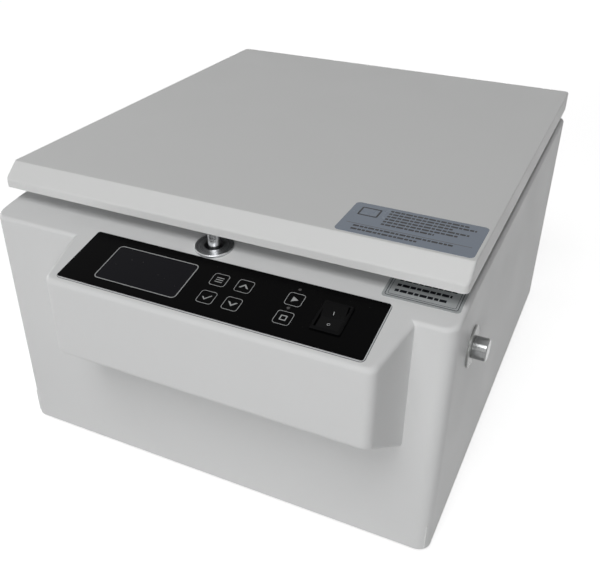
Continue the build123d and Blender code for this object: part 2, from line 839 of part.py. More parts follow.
deck_label_width = 61
deck_label_length = 88
deck_label_centre = (mid_x + 180, front_y + 62.5)
label_skin = casing_form(-label_thickness, base_z)
with BuildPart() as deck_label:
    add(label_skin)
    add(outer_casing, mode=Mode.SUBTRACT)
    with BuildSketch(Plane.XY.offset(deck_z - cut_through / 2)):
        with Locations(deck_label_centre):
            RectangleRounded(deck_label_width, deck_label_length, 3)
    extrude(amount=cut_through, mode=Mode.INTERSECT)
deck_label.part.label = "deck_label"
export_step(deck_label.part, "parts/deck_label.step")

# ---------------------------------------------------------------- hinges
leaf_top_z = deck_z + leaf_thickness
lid_leaf_low_z = liner_bottom_z - leaf_thickness
leaf_centre_y = hinge_y - leaf_reach / 2
leaf_screw_spread = 22
leaf_screw_places = [
    (x + sx * leaf_screw_spread, hinge_y - leaf_screw_spread) for x in hinge_places for sx in (-1, 1)
] + [(x, hinge_y - leaf_screw_spread - 6) for x in hinge_places]
pan_head_radius = 3.6
pan_head_height = 1.6
with BuildPart() as hinge_deck_leaves:
    with BuildSketch(Plane.XY.offset(deck_z)):
        with Locations(*[(x, leaf_centre_y) for x in hinge_places]):
            Rectangle(hinge_width, leaf_reach)
    extrude(amount=leaf_thickness)
    for hinge_x in hinge_places:
        with BuildSketch(Plane.YZ.offset(hinge_x)):
            with Locations((hinge_y, hinge_z)):
                Circle(knuckle_radius)
            with Locations((hinge_y - knuckle_radius / 2, (leaf_top_z - 1 + hinge_z) / 2)):
                Rectangle(knuckle_radius, hinge_z - leaf_top_z + 1)
            with Locations((hinge_y, hinge_z)):
                Circle(hinge_pin_radius, mode=Mode.SUBTRACT)
        extrude(amount=knuckle_split / 2, both=True)
hinge_deck_leaves.part.label = "hinge_deck_leaves"
export_step(hinge_deck_leaves.part, "parts/hinge_deck_leaves.step")

with BuildPart() as hinge_screws:
    with BuildSketch(Plane.XY.offset(leaf_top_z)):
        with Locations(*leaf_screw_places):
            Circle(pan_head_radius)
    extrude(amount=pan_head_height)
hinge_screws.part.label = "hinge_screws"
export_step(hinge_screws.part, "parts/hinge_screws.step")

side_gap = 0.3
knuckle_clearance = 14
outer_knuckle = (hinge_width - knuckle_split) / 2 - side_gap
with BuildPart() as hinge_lid_leaves:
    with BuildSketch(Plane.XY.offset(lid_leaf_low_z)):
        with Locations(*[(x, leaf_centre_y) for x in hinge_places]):
            Rectangle(hinge_width, leaf_reach)
        with Locations(*[(x, hinge_y) for x in hinge_places]):
            Rectangle(knuckle_split + 2 * side_gap, knuckle_clearance, mode=Mode.SUBTRACT)
    extrude(amount=leaf_thickness)
    for hinge_x in hinge_places:
        for side in (-1, 1):
            knuckle_x = hinge_x + side * (hinge_width - outer_knuckle) / 2
            with BuildSketch(Plane.YZ.offset(knuckle_x)):
                with Locations((hinge_y, hinge_z)):
                    Circle(knuckle_radius)
                with Locations((hinge_y - knuckle_radius / 2, (lid_leaf_low_z + 1 + hinge_z) / 2)):
                    Rectangle(knuckle_radius, lid_leaf_low_z + 1 - hinge_z)
                with Locations((hinge_y, hinge_z)):
                    Circle(hinge_pin_radius + running_clearance, mode=Mode.SUBTRACT)
            extrude(amount=outer_knuckle / 2, both=True)
hinge_lid_leaves.part.label = "hinge_lid_leaves"
export_step(hinge_lid_leaves.part, "parts/hinge_lid_leaves.step")

lid_screw_places = [
    (mid_x + sx * 200, y) for sx in (-1, 1) for y in (liner_front_y + 14, chamber_y, liner_back_y - 14)
] + [(mid_x + sx * 90, liner_front_y + 14) for sx in (-1, 1)]
with BuildPart() as lid_screws:
    with BuildSketch(Plane.XY.offset(liner_bottom_z - pan_head_height)):
        with Locations(*lid_screw_places):
            Circle(pan_head_radius)
    with BuildSketch(Plane.XY.offset(lid_leaf_low_z - pan_head_height)):
        with Locations(*leaf_screw_places):
            Circle(pan_head_radius)
    extrude(amount=pan_head_height)
lid_screws.part.label = "lid_screws"
export_step(lid_screws.part, "parts/lid_screws.step")

pin_head = 1
with BuildPart() as hinge_pins:
    for hinge_x in hinge_places:
        with BuildSketch(Plane.YZ.offset(hinge_x)):
            with Locations((hinge_y, hinge_z)):
                Circle(hinge_pin_radius)
        extrude(amount=hinge_width / 2, both=True)
        with BuildSketch(Plane.YZ.offset(hinge_x + hinge_width / 2)):
            with Locations((hinge_y, hinge_z)):
                Circle(hinge_pin_radius + pin_head)
        extrude(amount=pin_head)
hinge_pins.part.label = "hinge_pins"
export_step(hinge_pins.part, "parts/hinge_pins.step")

# ---------------------------------------------------------------- latch and release
sleeve_low_z = base_z + 220
lock_top_z = base_z + 228
lock_low_z = base_z + 196
lock_half_width = 26
lock_half_depth = 15
slide_low_z = base_z + 208
slide_thickness = 3
slide_half_width = 13
slide_gap = 0.3
slide_window_length = 27
slide_window_width = 18.6
lock_floor = 3
with BuildPart() as deck_escutcheon:
    with BuildSketch(latch_seat.offset(-seat_recess)):
        Circle(escutcheon_radius)
    extrude(amount=escutcheon_thickness)
    fillet(deck_escutcheon.edges().sort_by(Axis.Z)[-1], 0.8)
    with BuildSketch(Plane.XY.offset(sleeve_low_z)):
        with Locations((mid_x, latch_y)):
            Circle(latch_sleeve_radius)
    extrude(amount=latch_deck_z - sleeve_low_z - seat_recess)
    with BuildSketch(Plane.XY.offset(sleeve_low_z)):
        with Locations((mid_x, latch_y)):
            Circle(latch_hole_radius)
    extrude(amount=cut_through, mode=Mode.SUBTRACT)
deck_escutcheon.part.label = "deck_escutcheon"
export_step(deck_escutcheon.part, "parts/deck_escutcheon.step")

with BuildPart() as lock_body:
    with BuildSketch(Plane.XY.offset(lock_low_z)):
        with Locations((mid_x, latch_y)):
            RectangleRounded(2 * lock_half_width, 2 * lock_half_depth, 3)
    extrude(amount=lock_top_z - lock_low_z)
    with BuildSketch(Plane.XY.offset(lock_low_z + lock_floor)):
        with Locations((mid_x, latch_y)):
            Circle(latch_hole_radius)
    extrude(amount=cut_through, mode=Mode.SUBTRACT)
    with BuildSketch(Plane.XY.offset(sleeve_low_z)):
        with Locations((mid_x, latch_y)):
            Circle(latch_sleeve_radius)
    extrude(amount=cut_through, mode=Mode.SUBTRACT)
    with BuildSketch(Plane.YZ.offset(mid_x)):
        with Locations((latch_y, slide_low_z + slide_thickness / 2)):
            Rectangle(2 * (slide_half_width + slide_gap), slide_thickness + 2 * slide_gap)
    extrude(amount=lock_half_width + 5, both=True, mode=Mode.SUBTRACT)
lock_body.part.label = "lock_body"
export_step(lock_body.part, "parts/lock_body.step")

micro_width = 8
micro_length = 20
micro_height = 7
micro_x = mid_x - lock_half_width - micro_width / 2
micro_low_z = lock_low_z + 4
micro_terminal = 3
with BuildPart() as microswitch:
    with BuildSketch(Plane.XY.offset(micro_low_z)):
        with Locations((micro_x, latch_y)):
            RectangleRounded(micro_width, micro_length, 1)
    extrude(amount=micro_height)
    with BuildSketch(Plane.XY.offset(micro_low_z - micro_terminal)):
        with Locations((micro_x, latch_y)):
            with GridLocations(0, 7, 1, 3):
                Rectangle(3, 0.8)
    extrude(amount=micro_terminal + 1)
microswitch.part.label = "microswitch"
export_step(microswitch.part, "parts/microswitch.step")

pin_plate_low_z = liner_bottom_z - 2.5
pin_plate_front_y = lid_front_y + lid_sheet + 0.3
pin_plate_length = 22
pin_plate_width = 40
pin_tip_chamfer = 3
notch_depth = 1.5
notch_height = 5
with BuildPart() as latch_pin:
    with BuildSketch(Plane.XY.offset(latch_tip_z)):
        with Locations((mid_x, latch_y)):
            Circle(latch_pin_radius)
    extrude(amount=pin_plate_low_z - latch_tip_z)
    chamfer(latch_pin.edges().group_by(Axis.Z)[0], pin_tip_chamfer)
    with BuildSketch(Plane.XZ.offset(-latch_y)):
        with Locations((mid_x + latch_pin_radius, slide_low_z + slide_thickness / 2)):
            Rectangle(2 * notch_depth, notch_height)
    revolve(axis=Axis((mid_x, latch_y, 0), (0, 0, 1)), mode=Mode.SUBTRACT)
    with BuildSketch(Plane.XY.offset(pin_plate_low_z)):
        with Locations((mid_x, pin_plate_front_y + pin_plate_length / 2)):
            Rectangle(pin_plate_width, pin_plate_length)
    extrude(amount=liner_bottom_z - pin_plate_low_z)
latch_pin.part.label = "latch_pin"
export_step(latch_pin.part, "parts/latch_pin.step")

arm_x = mid_x + 48
arm_width = 12
tab_thickness = 4
tab_width = 16
tab_low_z = knob_z - 9
tab_high_z = slide_low_z + slide_thickness
slide_left = mid_x - 22
slide_right = arm_x + tab_thickness
arm_back = knob_y + tab_width / 2
arm_front = latch_y - slide_half_width
with BuildPart() as latch_slide:
    with BuildSketch(Plane.XY.offset(slide_low_z)):
        with Locations(((slide_left + slide_right) / 2, latch_y)):
            Rectangle(slide_right - slide_left, 2 * slide_half_width)
        with Locations((mid_x - 4, latch_y)):
            RectangleRounded(slide_window_length, slide_window_width, 1, mode=Mode.SUBTRACT)
        with Locations((slide_right - arm_width / 2, (arm_back + arm_front) / 2)):
            Rectangle(arm_width, arm_back - arm_front)
    extrude(amount=slide_thickness)
    with BuildSketch(Plane.YZ.offset(arm_x)):
        with Locations((knob_y, (tab_low_z + tab_high_z) / 2)):
            Rectangle(tab_width, tab_high_z - tab_low_z)
    extrude(amount=tab_thickness)
    with BuildSketch(Plane.YZ.offset(arm_x)):
        with Locations((knob_y, knob_z)):
            Circle(rod_radius)
    extrude(amount=tab_thickness, mode=Mode.SUBTRACT)
latch_slide.part.label = "latch_slide"
export_step(latch_slide.part, "parts/latch_slide.step")

bushing_inner_x = right_x - wall - 6
collar_x = right_x - 48
collar_radius = 8
collar_thickness = 4
rod_socket = 7
rod_start_x = arm_x - 1
rod_end_x = right_x + knob_flange_thickness + rod_socket
with BuildPart() as release_rod:
    with BuildSketch(Plane.YZ.offset(rod_start_x)):
        with Locations((knob_y, knob_z)):
            Circle(rod_radius)
    extrude(amount=rod_end_x - rod_start_x)
    with BuildSketch(Plane.YZ.offset(collar_x)):
        with Locations((knob_y, knob_z)):
            Circle(collar_radius)
    extrude(amount=collar_thickness)
release_rod.part.label = "release_rod"
export_step(release_rod.part, "parts/release_rod.step")

knob_gap = 0.3
knob_chamfer = 0.8
knob_start_x = right_x + knob_flange_thickness + knob_gap
with BuildPart() as release_knob:
    with BuildSketch(Plane.YZ.offset(knob_start_x)):
        with Locations((knob_y, knob_z)):
            Circle(knob_radius)
    extrude(amount=knob_length - knob_gap)
    chamfer(release_knob.edges().group_by(Axis.X)[-1], knob_chamfer)
    with BuildSketch(Plane.YZ.offset(knob_start_x)):
        with Locations((knob_y, knob_z)):
            Circle(rod_radius)
    extrude(amount=rod_socket - knob_gap, mode=Mode.SUBTRACT)
release_knob.part.label = "release_knob"
export_step(release_knob.part, "parts/release_knob.step")

knob_nut_radius = 12
knob_nut_thickness = 4
with BuildPart() as knob_escutcheon:
    with BuildSketch(Plane.YZ.offset(right_x)):
        with Locations((knob_y, knob_z)):
            Circle(knob_flange_radius)
    extrude(amount=knob_flange_thickness)
    fillet(knob_escutcheon.edges().group_by(Axis.X)[-1], 0.9)
    with BuildSketch(Plane.YZ.offset(bushing_inner_x)):
        with Locations((knob_y, knob_z)):
            Circle(bushing_radius)
    extrude(amount=right_x - bushing_inner_x)
    with BuildSketch(Plane.YZ.offset(right_x - wall - knob_nut_thickness)):
        with Locations((knob_y, knob_z)):
            RegularPolygon(knob_nut_radius, 6)
    extrude(amount=knob_nut_thickness)
    with BuildSketch(Plane.YZ.offset(bushing_inner_x)):
        with Locations((knob_y, knob_z)):
            Circle(rod_radius + running_clearance)
    extrude(amount=cut_through, mode=Mode.SUBTRACT)
knob_escutcheon.part.label = "knob_escutcheon"
export_step(knob_escutcheon.part, "parts/knob_escutcheon.step")

spring_radius = 6
spring_wire = 0.7
spring_start_x = collar_x + collar_thickness + spring_wire
spring_length = bushing_inner_x - spring_start_x - spring_wire
spring_turns = 7
with BuildPart() as latch_spring:
    with BuildLine():
        path = Helix(
            pitch=spring_length / spring_turns,
            height=spring_length,
            radius=spring_radius,
            center=(spring_start_x, knob_y, knob_z),
            direction=(1, 0, 0),
        )
    with BuildSketch(Plane(origin=path @ 0, z_dir=path % 0)):
        Circle(spring_wire)
    sweep(path=path)
latch_spring.part.label = "latch_spring"
export_step(latch_spring.part, "parts/latch_spring.step")

# ---------------------------------------------------------------- control panel
with BuildPart() as control_film:
    with BuildSketch(panel):
        with Locations(film_centre):
            RectangleRounded(film_width, film_length, 2)
        with Locations(window_centre):
            RectangleRounded(window_width, window_length, window_corner, mode=Mode.SUBTRACT)
        with Locations(*key_places.values()):
            RectangleRounded(key_size + 2 * key_gap, key_size + 2 * key_gap, 2.2, mode=Mode.SUBTRACT)
        with Locations(switch_centre):
            Rectangle(
                switch_body_width + 2 * switch_clearance,
                switch_body_length + 2 * switch_clearance,
                mode=Mode.SUBTRACT,
            )
    extrude(amount=film_thickness)
control_film.part.label = "control_film"
export_step(control_film.part, "parts/control_film.step")

with BuildPart() as display_window:
    with BuildSketch(panel):
        with Locations(window_centre):
            RectangleRounded(window_width, window_length, window_corner)
    extrude(amount=film_thickness)
display_window.part.label = "display_window"
export_step(display_window.part, "parts/display_window.step")

module_width = window_width - 8
module_length = window_length - 2
module_gap = 0.5
glass_margin = 5
with BuildPart() as display_module:
    with BuildSketch(panel.offset(-board_depth)):
        with Locations(window_centre):
            Rectangle(module_width, module_length)
    extrude(amount=board_depth - wall)
    with BuildSketch(panel.offset(-wall)):
        with Locations(window_centre):
            Rectangle(window_width - 2 * glass_margin, window_length - 2 * glass_margin)
    extrude(amount=wall - module_gap)
display_module.part.label = "display_module"
export_step(display_module.part, "parts/display_module.step")

board_left = -78
board_right = 112
board_low = -42.5
board_high = 3.5
standoff_inset = 3.5
standoff_places = [
    (x, y)
    for x in (board_left + standoff_inset, board_right - standoff_inset)
    for y in (board_low + standoff_inset, board_high - standoff_inset)
]
tact_gap = 0.15
tact_top = film_thickness - key_depth - key_travel - tact_gap
tact_size = 6
connector_height = 9
with BuildPart() as control_board:
    with BuildSketch(panel.offset(-board_depth - board_thickness)):
        with Locations(((board_left + board_right) / 2, (board_low + board_high) / 2)):
            Rectangle(board_right - board_left, board_high - board_low)
    extrude(amount=board_thickness)
    with BuildSketch(panel.offset(-board_depth)):
        with Locations(*key_places.values()):
            Rectangle(tact_size, tact_size)
    extrude(amount=board_depth + tact_top)
    with BuildSketch(panel.offset(-board_depth - board_thickness - connector_height)):
        with Locations((10, -32)):
            Rectangle(60, 8)
        with Locations((70, -16)):
            Rectangle(14, 14)
    extrude(amount=connector_height)
control_board.part.label = "control_board"
export_step(control_board.part, "parts/control_board.step")

standoff_radius = 2.9
with BuildPart() as board_standoffs:
    with BuildSketch(panel.offset(-board_depth)):
        with Locations(*standoff_places):
            RegularPolygon(standoff_radius, 6)
    extrude(amount=board_depth - wall)
board_standoffs.part.label = "board_standoffs"
export_step(board_standoffs.part, "parts/board_standoffs.step")

key_round = 0.3


def panel_key(place):
    """Return one square key, flush with the film, at a place in the panel plane."""
    with BuildPart() as key:
        with BuildSketch(panel.offset(film_thickness - key_depth)):
            with Locations(place):
                RectangleRounded(key_size, key_size, 2)
        extrude(amount=key_depth)
        fillet(key.faces().sort_by(panel_normal)[-1].edges(), key_round)
    return key.part


with BuildPart() as key_set:
    add(panel_key(key_places["key_set"]))
key_set.part.label = "key_set"
export_step(key_set.part, "parts/key_set.step")

with BuildPart() as key_confirm:
    add(panel_key(key_places["key_confirm"]))
key_confirm.part.label = "key_confirm"
export_step(key_confirm.part, "parts/key_confirm.step")

with BuildPart() as key_up:
    add(panel_key(key_places["key_up"]))
key_up.part.label = "key_up"
export_step(key_up.part, "parts/key_up.step")

with BuildPart() as key_down:
    add(panel_key(key_places["key_down"]))
key_down.part.label = "key_down"
export_step(key_down.part, "parts/key_down.step")

with BuildPart() as key_start:
    add(panel_key(key_places["key_start"]))
key_start.part.label = "key_start"
export_step(key_start.part, "parts/key_start.step")

with BuildPart() as key_stop:
    add(panel_key(key_places["key_stop"]))
key_stop.part.label = "key_stop"
export_step(key_stop.part, "parts/key_stop.step")

# The rocker turns about an axle across the switch, and rests with its back end raised.
bezel_top = film_thickness + bezel_thickness
pivot_height = bezel_top - rocker_pivot_depth
pivot_point = panel.from_local_coords((switch_centre[0], switch_centre[1], pivot_height))
rocker_section = Plane(origin=pivot_point, x_dir=panel.y_dir, z_dir=(1, 0, 0))
cavity_half_width = rocker_width / 2 + 0.3
cavity_half_length = rocker_radius + 0.4
bezel_corner = 1.5
bezel_chamfer = 0.8
with BuildPart() as switch_frame:
    with BuildSketch(panel.offset(film_thickness)):
        with Locations(switch_centre):
            RectangleRounded(bezel_width, bezel_length, bezel_corner)
    extrude(amount=bezel_thickness)
    chamfer(switch_frame.faces().sort_by(panel_normal)[-1].edges(), bezel_chamfer)
    with BuildSketch(panel.offset(film_thickness - switch_body_depth)):
        with Locations(switch_centre):
            Rectangle(switch_body_width, switch_body_length)
    extrude(amount=switch_body_depth)
    with BuildSketch(panel.offset(pivot_height - rocker_radius - 1)):
        with Locations(switch_centre):
            Rectangle(2 * cavity_half_width, 2 * cavity_half_length)
    extrude(amount=cut_through, mode=Mode.SUBTRACT)
    with BuildSketch(rocker_section):
        Circle(rocker_axle_radius + running_clearance)
    extrude(amount=switch_body_width, both=True, mode=Mode.SUBTRACT)
switch_frame.part.label = "switch_frame"
export_step(switch_frame.part, "parts/switch_frame.step")

rocker_rise = rocker_waist + rocker_radius * tan(radians(rocker_angle))
rocker_drop = -8
with BuildPart() as switch_rocker:
    with BuildSketch(rocker_section):
        with BuildLine():
            Polyline(
                (0, rocker_waist),
                (rocker_radius, rocker_rise),
                (rocker_radius, rocker_drop),
                (-rocker_radius, rocker_drop),
                (-rocker_radius, rocker_rise),
                close=True,
            )
        make_face()
        Circle(rocker_radius, mode=Mode.INTERSECT)
    extrude(amount=rocker_width / 2, both=True)
    with BuildSketch(rocker_section):
        Circle(rocker_axle_radius)
    extrude(amount=switch_body_width / 2 - switch_clearance, both=True)
rocker_turn = Axis(pivot_point, (1, 0, 0))
switch_rocker.part = switch_rocker.part.rotate(rocker_turn, rocker_angle)
switch_rocker.part.label = "switch_rocker"
export_step(switch_rocker.part, "parts/switch_rocker.step")

blade_length = 8
with BuildPart() as switch_terminals:
    with BuildSketch(panel.offset(film_thickness - switch_body_depth - blade_length)):
        with Locations(switch_centre):
            with GridLocations(11, 9, 2, 2):
                Rectangle(0.8, 6.3)
    extrude(amount=blade_length)
switch_terminals.part.label = "switch_terminals"
export_step(switch_terminals.part, "parts/switch_terminals.step")

# ---------------------------------------------------------------- rear wall
rear = Plane(origin=(0, back_y, 0), x_dir=(-1, 0, 0), z_dir=(0, 1, 0))
inlet_centre = (-inlet_x, inlet_z)
socket_centre = (-inlet_x, inlet_z - 9)
drawer_centre = (-inlet_x, inlet_z + 14)
inlet_flange = 2.5
inlet_body_depth = 22
socket_width = 24.4
socket_height = 16.8
socket_depth = 16
socket_chamfer = 4
drawer_depth = 18
drawer_width = 22.8
drawer_height = 11.8
drawer_gap = 0.1
inlet_width = 31
inlet_height = 50
with BuildPart() as mains_inlet:
    with BuildSketch(rear):
        with Locations(inlet_centre):
            RectangleRounded(inlet_width, inlet_height, 3)
    extrude(amount=inlet_flange)
    fillet(mains_inlet.edges().group_by(Axis.Y)[-1], 0.8)
    with BuildSketch(rear.offset(-inlet_body_depth)):
        with Locations(inlet_centre):
            Rectangle(inlet_cut_width - 2 * seat_clearance, inlet_cut_height - 2 * seat_clearance)
    extrude(amount=inlet_body_depth)
    with BuildSketch(rear.offset(inlet_flange - socket_depth)):
        with Locations(socket_centre):
            socket = Rectangle(socket_width, socket_height)
            chamfer(socket.vertices().group_by(Axis.Y)[-1], socket_chamfer)
    extrude(amount=socket_depth, mode=Mode.SUBTRACT)
    with BuildSketch(rear.offset(inlet_flange - drawer_depth)):
        with Locations(drawer_centre):
            Rectangle(drawer_width + 2 * drawer_gap, drawer_height + 2 * drawer_gap)
    extrude(amount=drawer_depth, mode=Mode.SUBTRACT)
mains_inlet.part.label = "mains_inlet"
export_step(mains_inlet.part, "parts/mains_inlet.step")

contact_recess = 3
contact_places = [
    (-inlet_x - 7, inlet_z - 11),
    (-inlet_x + 7, inlet_z - 11),
    (-inlet_x, inlet_z - 7),
]
with BuildPart() as inlet_contacts:
    with BuildSketch(rear.offset(inlet_flange - socket_depth)):
        with Locations(*contact_places):
            Rectangle(2, 4)
    extrude(amount=socket_depth - contact_recess)
inlet_contacts.part.label = "inlet_contacts"
export_step(inlet_contacts.part, "parts/inlet_contacts.step")

drawer_proud = 0.4
nail_slot_depth = 2
with BuildPart() as fuse_drawer:
    with BuildSketch(rear.offset(inlet_flange - drawer_depth)):
        with Locations(drawer_centre):
            Rectangle(drawer_width, drawer_height)
    extrude(amount=drawer_depth + drawer_proud)
    with BuildSketch(rear.offset(inlet_flange - nail_slot_depth)):
        with Locations((-inlet_x, inlet_z + 9.5)):
            Rectangle(8, 3)
    extrude(amount=2 * nail_slot_depth, mode=Mode.SUBTRACT)
fuse_drawer.part.label = "fuse_drawer"
export_step(fuse_drawer.part, "parts/fuse_drawer.step")

fan_centre = (-fan_x, fan_z)
fan_hub_radius = 17
fan_mount_thickness = 3
with BuildPart() as fan_frame:
    with BuildSketch(rear.offset(-wall - fan_depth)):
        with Locations(fan_centre):
            RectangleRounded(fan_size, fan_size, 4)
            Circle(fan_bore, mode=Mode.SUBTRACT)
    extrude(amount=fan_depth)
    with BuildSketch(rear.offset(-wall - fan_depth)):
        with Locations(fan_centre):
            Circle(fan_hub_radius)
            with PolarLocations(0, 4, start_angle=45):
                with Locations((fan_size / 4, 0)):
                    Rectangle(fan_size / 2, 4)
            Circle(fan_bore + 1, mode=Mode.INTERSECT)
    extrude(amount=fan_mount_thickness)
fan_frame.part.label = "fan_frame"
export_step(fan_frame.part, "parts/fan_frame.step")

blade_count = 7
blade_angle = 38
rotor_start = -wall - fan_depth + fan_mount_thickness + 0.6
rotor_depth = fan_depth - fan_mount_thickness - 2.2
with BuildPart() as fan_rotor:
    with BuildSketch(rear.offset(rotor_start)):
        with Locations(fan_centre):
            Circle(fan_hub_radius)
    extrude(amount=rotor_depth)
    fillet(fan_rotor.edges().group_by(Axis.Y)[-1], 2)
    for blade in range(blade_count):
        turn = radians(360 * blade / blade_count)
        blade_plane = Plane(
            origin=(fan_x, back_y + rotor_start + rotor_depth / 2, fan_z),
            x_dir=(-sin(turn) * cos(radians(blade_angle)), sin(radians(blade_angle)),
                   cos(turn) * cos(radians(blade_angle))),
            z_dir=(cos(turn), 0, sin(turn)),
        )
        with BuildSketch(blade_plane.offset(fan_hub_radius - 2)):
            Rectangle(22, 1.6)
        extrude(amount=fan_bore - fan_hub_radius - 0.5)
    with BuildSketch(rear.offset(rotor_start)):
        with Locations(fan_centre):
            Circle(fan_bore - 1.2)
    extrude(amount=rotor_depth, mode=Mode.INTERSECT)
fan_rotor.part.label = "fan_rotor"
export_step(fan_rotor.part, "parts/fan_rotor.step")

guard_wire = 1.6
guard_strip = 1.5
guard_rings = (37, 29, 21, 13)
guard_screw_pitch = fan_size - 9
guard_eye_radius = 4
guard_hole_radius = 1.8
spoke_length = 34
with BuildPart() as fan_guard:
    with BuildSketch(rear):
        with Locations(fan_centre):
            with GridLocations(guard_screw_pitch, guard_screw_pitch, 2, 2):
                Circle(guard_eye_radius)
                Circle(guard_hole_radius, mode=Mode.SUBTRACT)
    extrude(amount=guard_strip)
    with BuildSketch(rear):
        with Locations(fan_centre):
            with PolarLocations(0, 4, start_angle=45):
                with Locations((32, 0)):
                    Rectangle(spoke_length, guard_wire)
    extrude(amount=guard_strip)
    for ring in guard_rings:
        with BuildSketch(rear.offset(guard_strip)):
            with Locations(fan_centre):
                Circle(ring + guard_wire / 2)
                Circle(ring - guard_wire / 2, mode=Mode.SUBTRACT)
        extrude(amount=rear_reach - guard_strip)
    with BuildSketch(rear.offset(guard_strip)):
        with Locations(fan_centre):
            with PolarLocations(0, 4, start_angle=45):
                with Locations((21, 0)):
                    Rectangle(spoke_length, guard_wire)
    extrude(amount=1)
fan_guard.part.label = "fan_guard"
export_step(fan_guard.part, "parts/fan_guard.step")

# ---------------------------------------------------------------- electronics on the base
board_rise = 8
board_z = base_z + pan_thickness + board_rise
board_post_radius = 3
power_width = 72
power_length = 66
drive_width = 170
drive_length = 58
post_inset = 8
power_centre = (mid_x + 158, back_y - 56)
drive_centre = (mid_x - 40, front_y + 40)
with BuildPart() as power_board:
    with BuildSketch(Plane.XY.offset(board_z)):
        with Locations(power_centre):
            Rectangle(power_width, power_length)
    extrude(amount=board_thickness)
    with BuildSketch(Plane.XY.offset(base_z + pan_thickness)):
        with Locations(power_centre):
            with GridLocations(power_width - post_inset, power_length - post_inset, 2, 2):
                Circle(board_post_radius)
    extrude(amount=board_rise)
    with BuildSketch(Plane.XY.offset(board_z + board_thickness)):
        with Locations((power_centre[0] + 18, power_centre[1] - 12)):
            Rectangle(28, 30)
    extrude(amount=24)
power_board.part.label = "power_board"
export_step(power_board.part, "parts/power_board.step")

with BuildPart() as drive_board:
    with BuildSketch(Plane.XY.offset(board_z)):
        with Locations(drive_centre):
            Rectangle(drive_width, drive_length)
    extrude(amount=board_thickness)
    with BuildSketch(Plane.XY.offset(base_z + pan_thickness)):
        with Locations(drive_centre):
            with GridLocations(drive_width - 10, drive_length - 10, 2, 2):
                Circle(board_post_radius)
    extrude(amount=board_rise)
    with BuildSketch(Plane.XY.offset(board_z + board_thickness)):
        with Locations((drive_centre[0] - 40, drive_centre[1])):
            Rectangle(22, 14)
    extrude(amount=12)
drive_board.part.label = "drive_board"
export_step(drive_board.part, "parts/drive_board.step")

sink_width = 54
sink_length = 44
sink_base = 4
sink_fin = 20
sink_centre = (drive_centre[0] + 50, drive_centre[1])
with BuildPart() as drive_heatsink:
    with BuildSketch(Plane.XY.offset(board_z + board_thickness)):
        with Locations(sink_centre):
            Rectangle(sink_width, sink_length)
    extrude(amount=sink_base)
    with BuildSketch(Plane.XY.offset(board_z + board_thickness + sink_base)):
        with Locations(sink_centre):
            with GridLocations(6, 1, 9, 1):
                Rectangle(2, sink_length)
    extrude(amount=sink_fin)
drive_heatsink.part.label = "drive_heatsink"
export_step(drive_heatsink.part, "parts/drive_heatsink.step")

capacitor_radius = 11
capacitor_height = 36
capacitor_places = [(drive_centre[0] - 5, drive_centre[1]), (drive_centre[0] - 68, drive_centre[1])]
with BuildPart() as smoothing_capacitors:
    with BuildSketch(Plane.XY.offset(board_z + board_thickness)):
        with Locations(*capacitor_places):
            Circle(capacitor_radius)
    extrude(amount=capacitor_height)
smoothing_capacitors.part.label = "smoothing_capacitors"
export_step(smoothing_capacitors.part, "parts/smoothing_capacitors.step")
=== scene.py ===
"""Looks of a bench microplate centrifuge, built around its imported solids."""

from __future__ import annotations

import logging
import math
from dataclasses import dataclass, field
from enum import Enum
from itertools import cycle
from typing import Callable, ClassVar, Sequence

import bmesh
import bpy
from bmesh.types import BMesh, BMVert
from bpy.types import ID, Material, Node, NodeSocket, NodeTree, Object
from mathutils import Matrix, Vector
from mathutils.bvhtree import BVHTree


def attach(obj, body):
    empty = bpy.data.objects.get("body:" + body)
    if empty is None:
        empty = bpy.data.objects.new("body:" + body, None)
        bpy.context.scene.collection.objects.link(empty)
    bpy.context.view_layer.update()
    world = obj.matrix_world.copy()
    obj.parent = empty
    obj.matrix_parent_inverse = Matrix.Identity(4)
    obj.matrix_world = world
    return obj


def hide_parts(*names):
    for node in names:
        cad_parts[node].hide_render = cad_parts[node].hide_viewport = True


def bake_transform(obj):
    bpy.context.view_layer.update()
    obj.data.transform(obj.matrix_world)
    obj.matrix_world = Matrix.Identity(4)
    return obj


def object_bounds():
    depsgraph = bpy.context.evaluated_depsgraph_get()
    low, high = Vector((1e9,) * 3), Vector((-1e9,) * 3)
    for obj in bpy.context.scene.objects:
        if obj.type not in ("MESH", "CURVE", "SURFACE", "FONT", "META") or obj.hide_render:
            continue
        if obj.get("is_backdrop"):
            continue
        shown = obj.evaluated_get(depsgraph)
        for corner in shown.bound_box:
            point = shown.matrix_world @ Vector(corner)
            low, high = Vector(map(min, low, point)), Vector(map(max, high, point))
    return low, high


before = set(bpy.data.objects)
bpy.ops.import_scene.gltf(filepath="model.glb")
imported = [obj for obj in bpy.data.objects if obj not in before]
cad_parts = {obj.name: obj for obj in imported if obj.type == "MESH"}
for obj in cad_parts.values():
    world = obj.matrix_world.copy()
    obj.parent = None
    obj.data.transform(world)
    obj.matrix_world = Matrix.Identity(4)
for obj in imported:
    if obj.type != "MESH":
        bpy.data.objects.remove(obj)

logging.basicConfig(level=logging.INFO, format="%(name)s: %(message)s")
log = logging.getLogger("centrifuge")

MM = 0.001
Point = tuple[float, float]
Loop = list[Point]
Colour = tuple[float, float, float]
Spot = tuple[float, float, float]
Placer = Callable[[float, float, float], Vector]


class Texture(Enum):
    """The kinds of relief that a finish can have."""

    GRAIN = "grain"
    BRUSHED = "brushed"
    TURNED = "turned"
    BOARD = "board"


class Spindle(Enum):
    """The line that turned rings go round, as the share of x, y and z that counts."""

    UPRIGHT = (1.0, 1.0, 0.0)
    SIDEWAYS = (0.0, 1.0, 1.0)


class Grain(Enum):
    """The way that brushed lines run, as the noise scale along x, y and z."""

    ALONG_X = (12.0, 1400.0, 1400.0)
    ALONG_Y = (1400.0, 12.0, 1400.0)


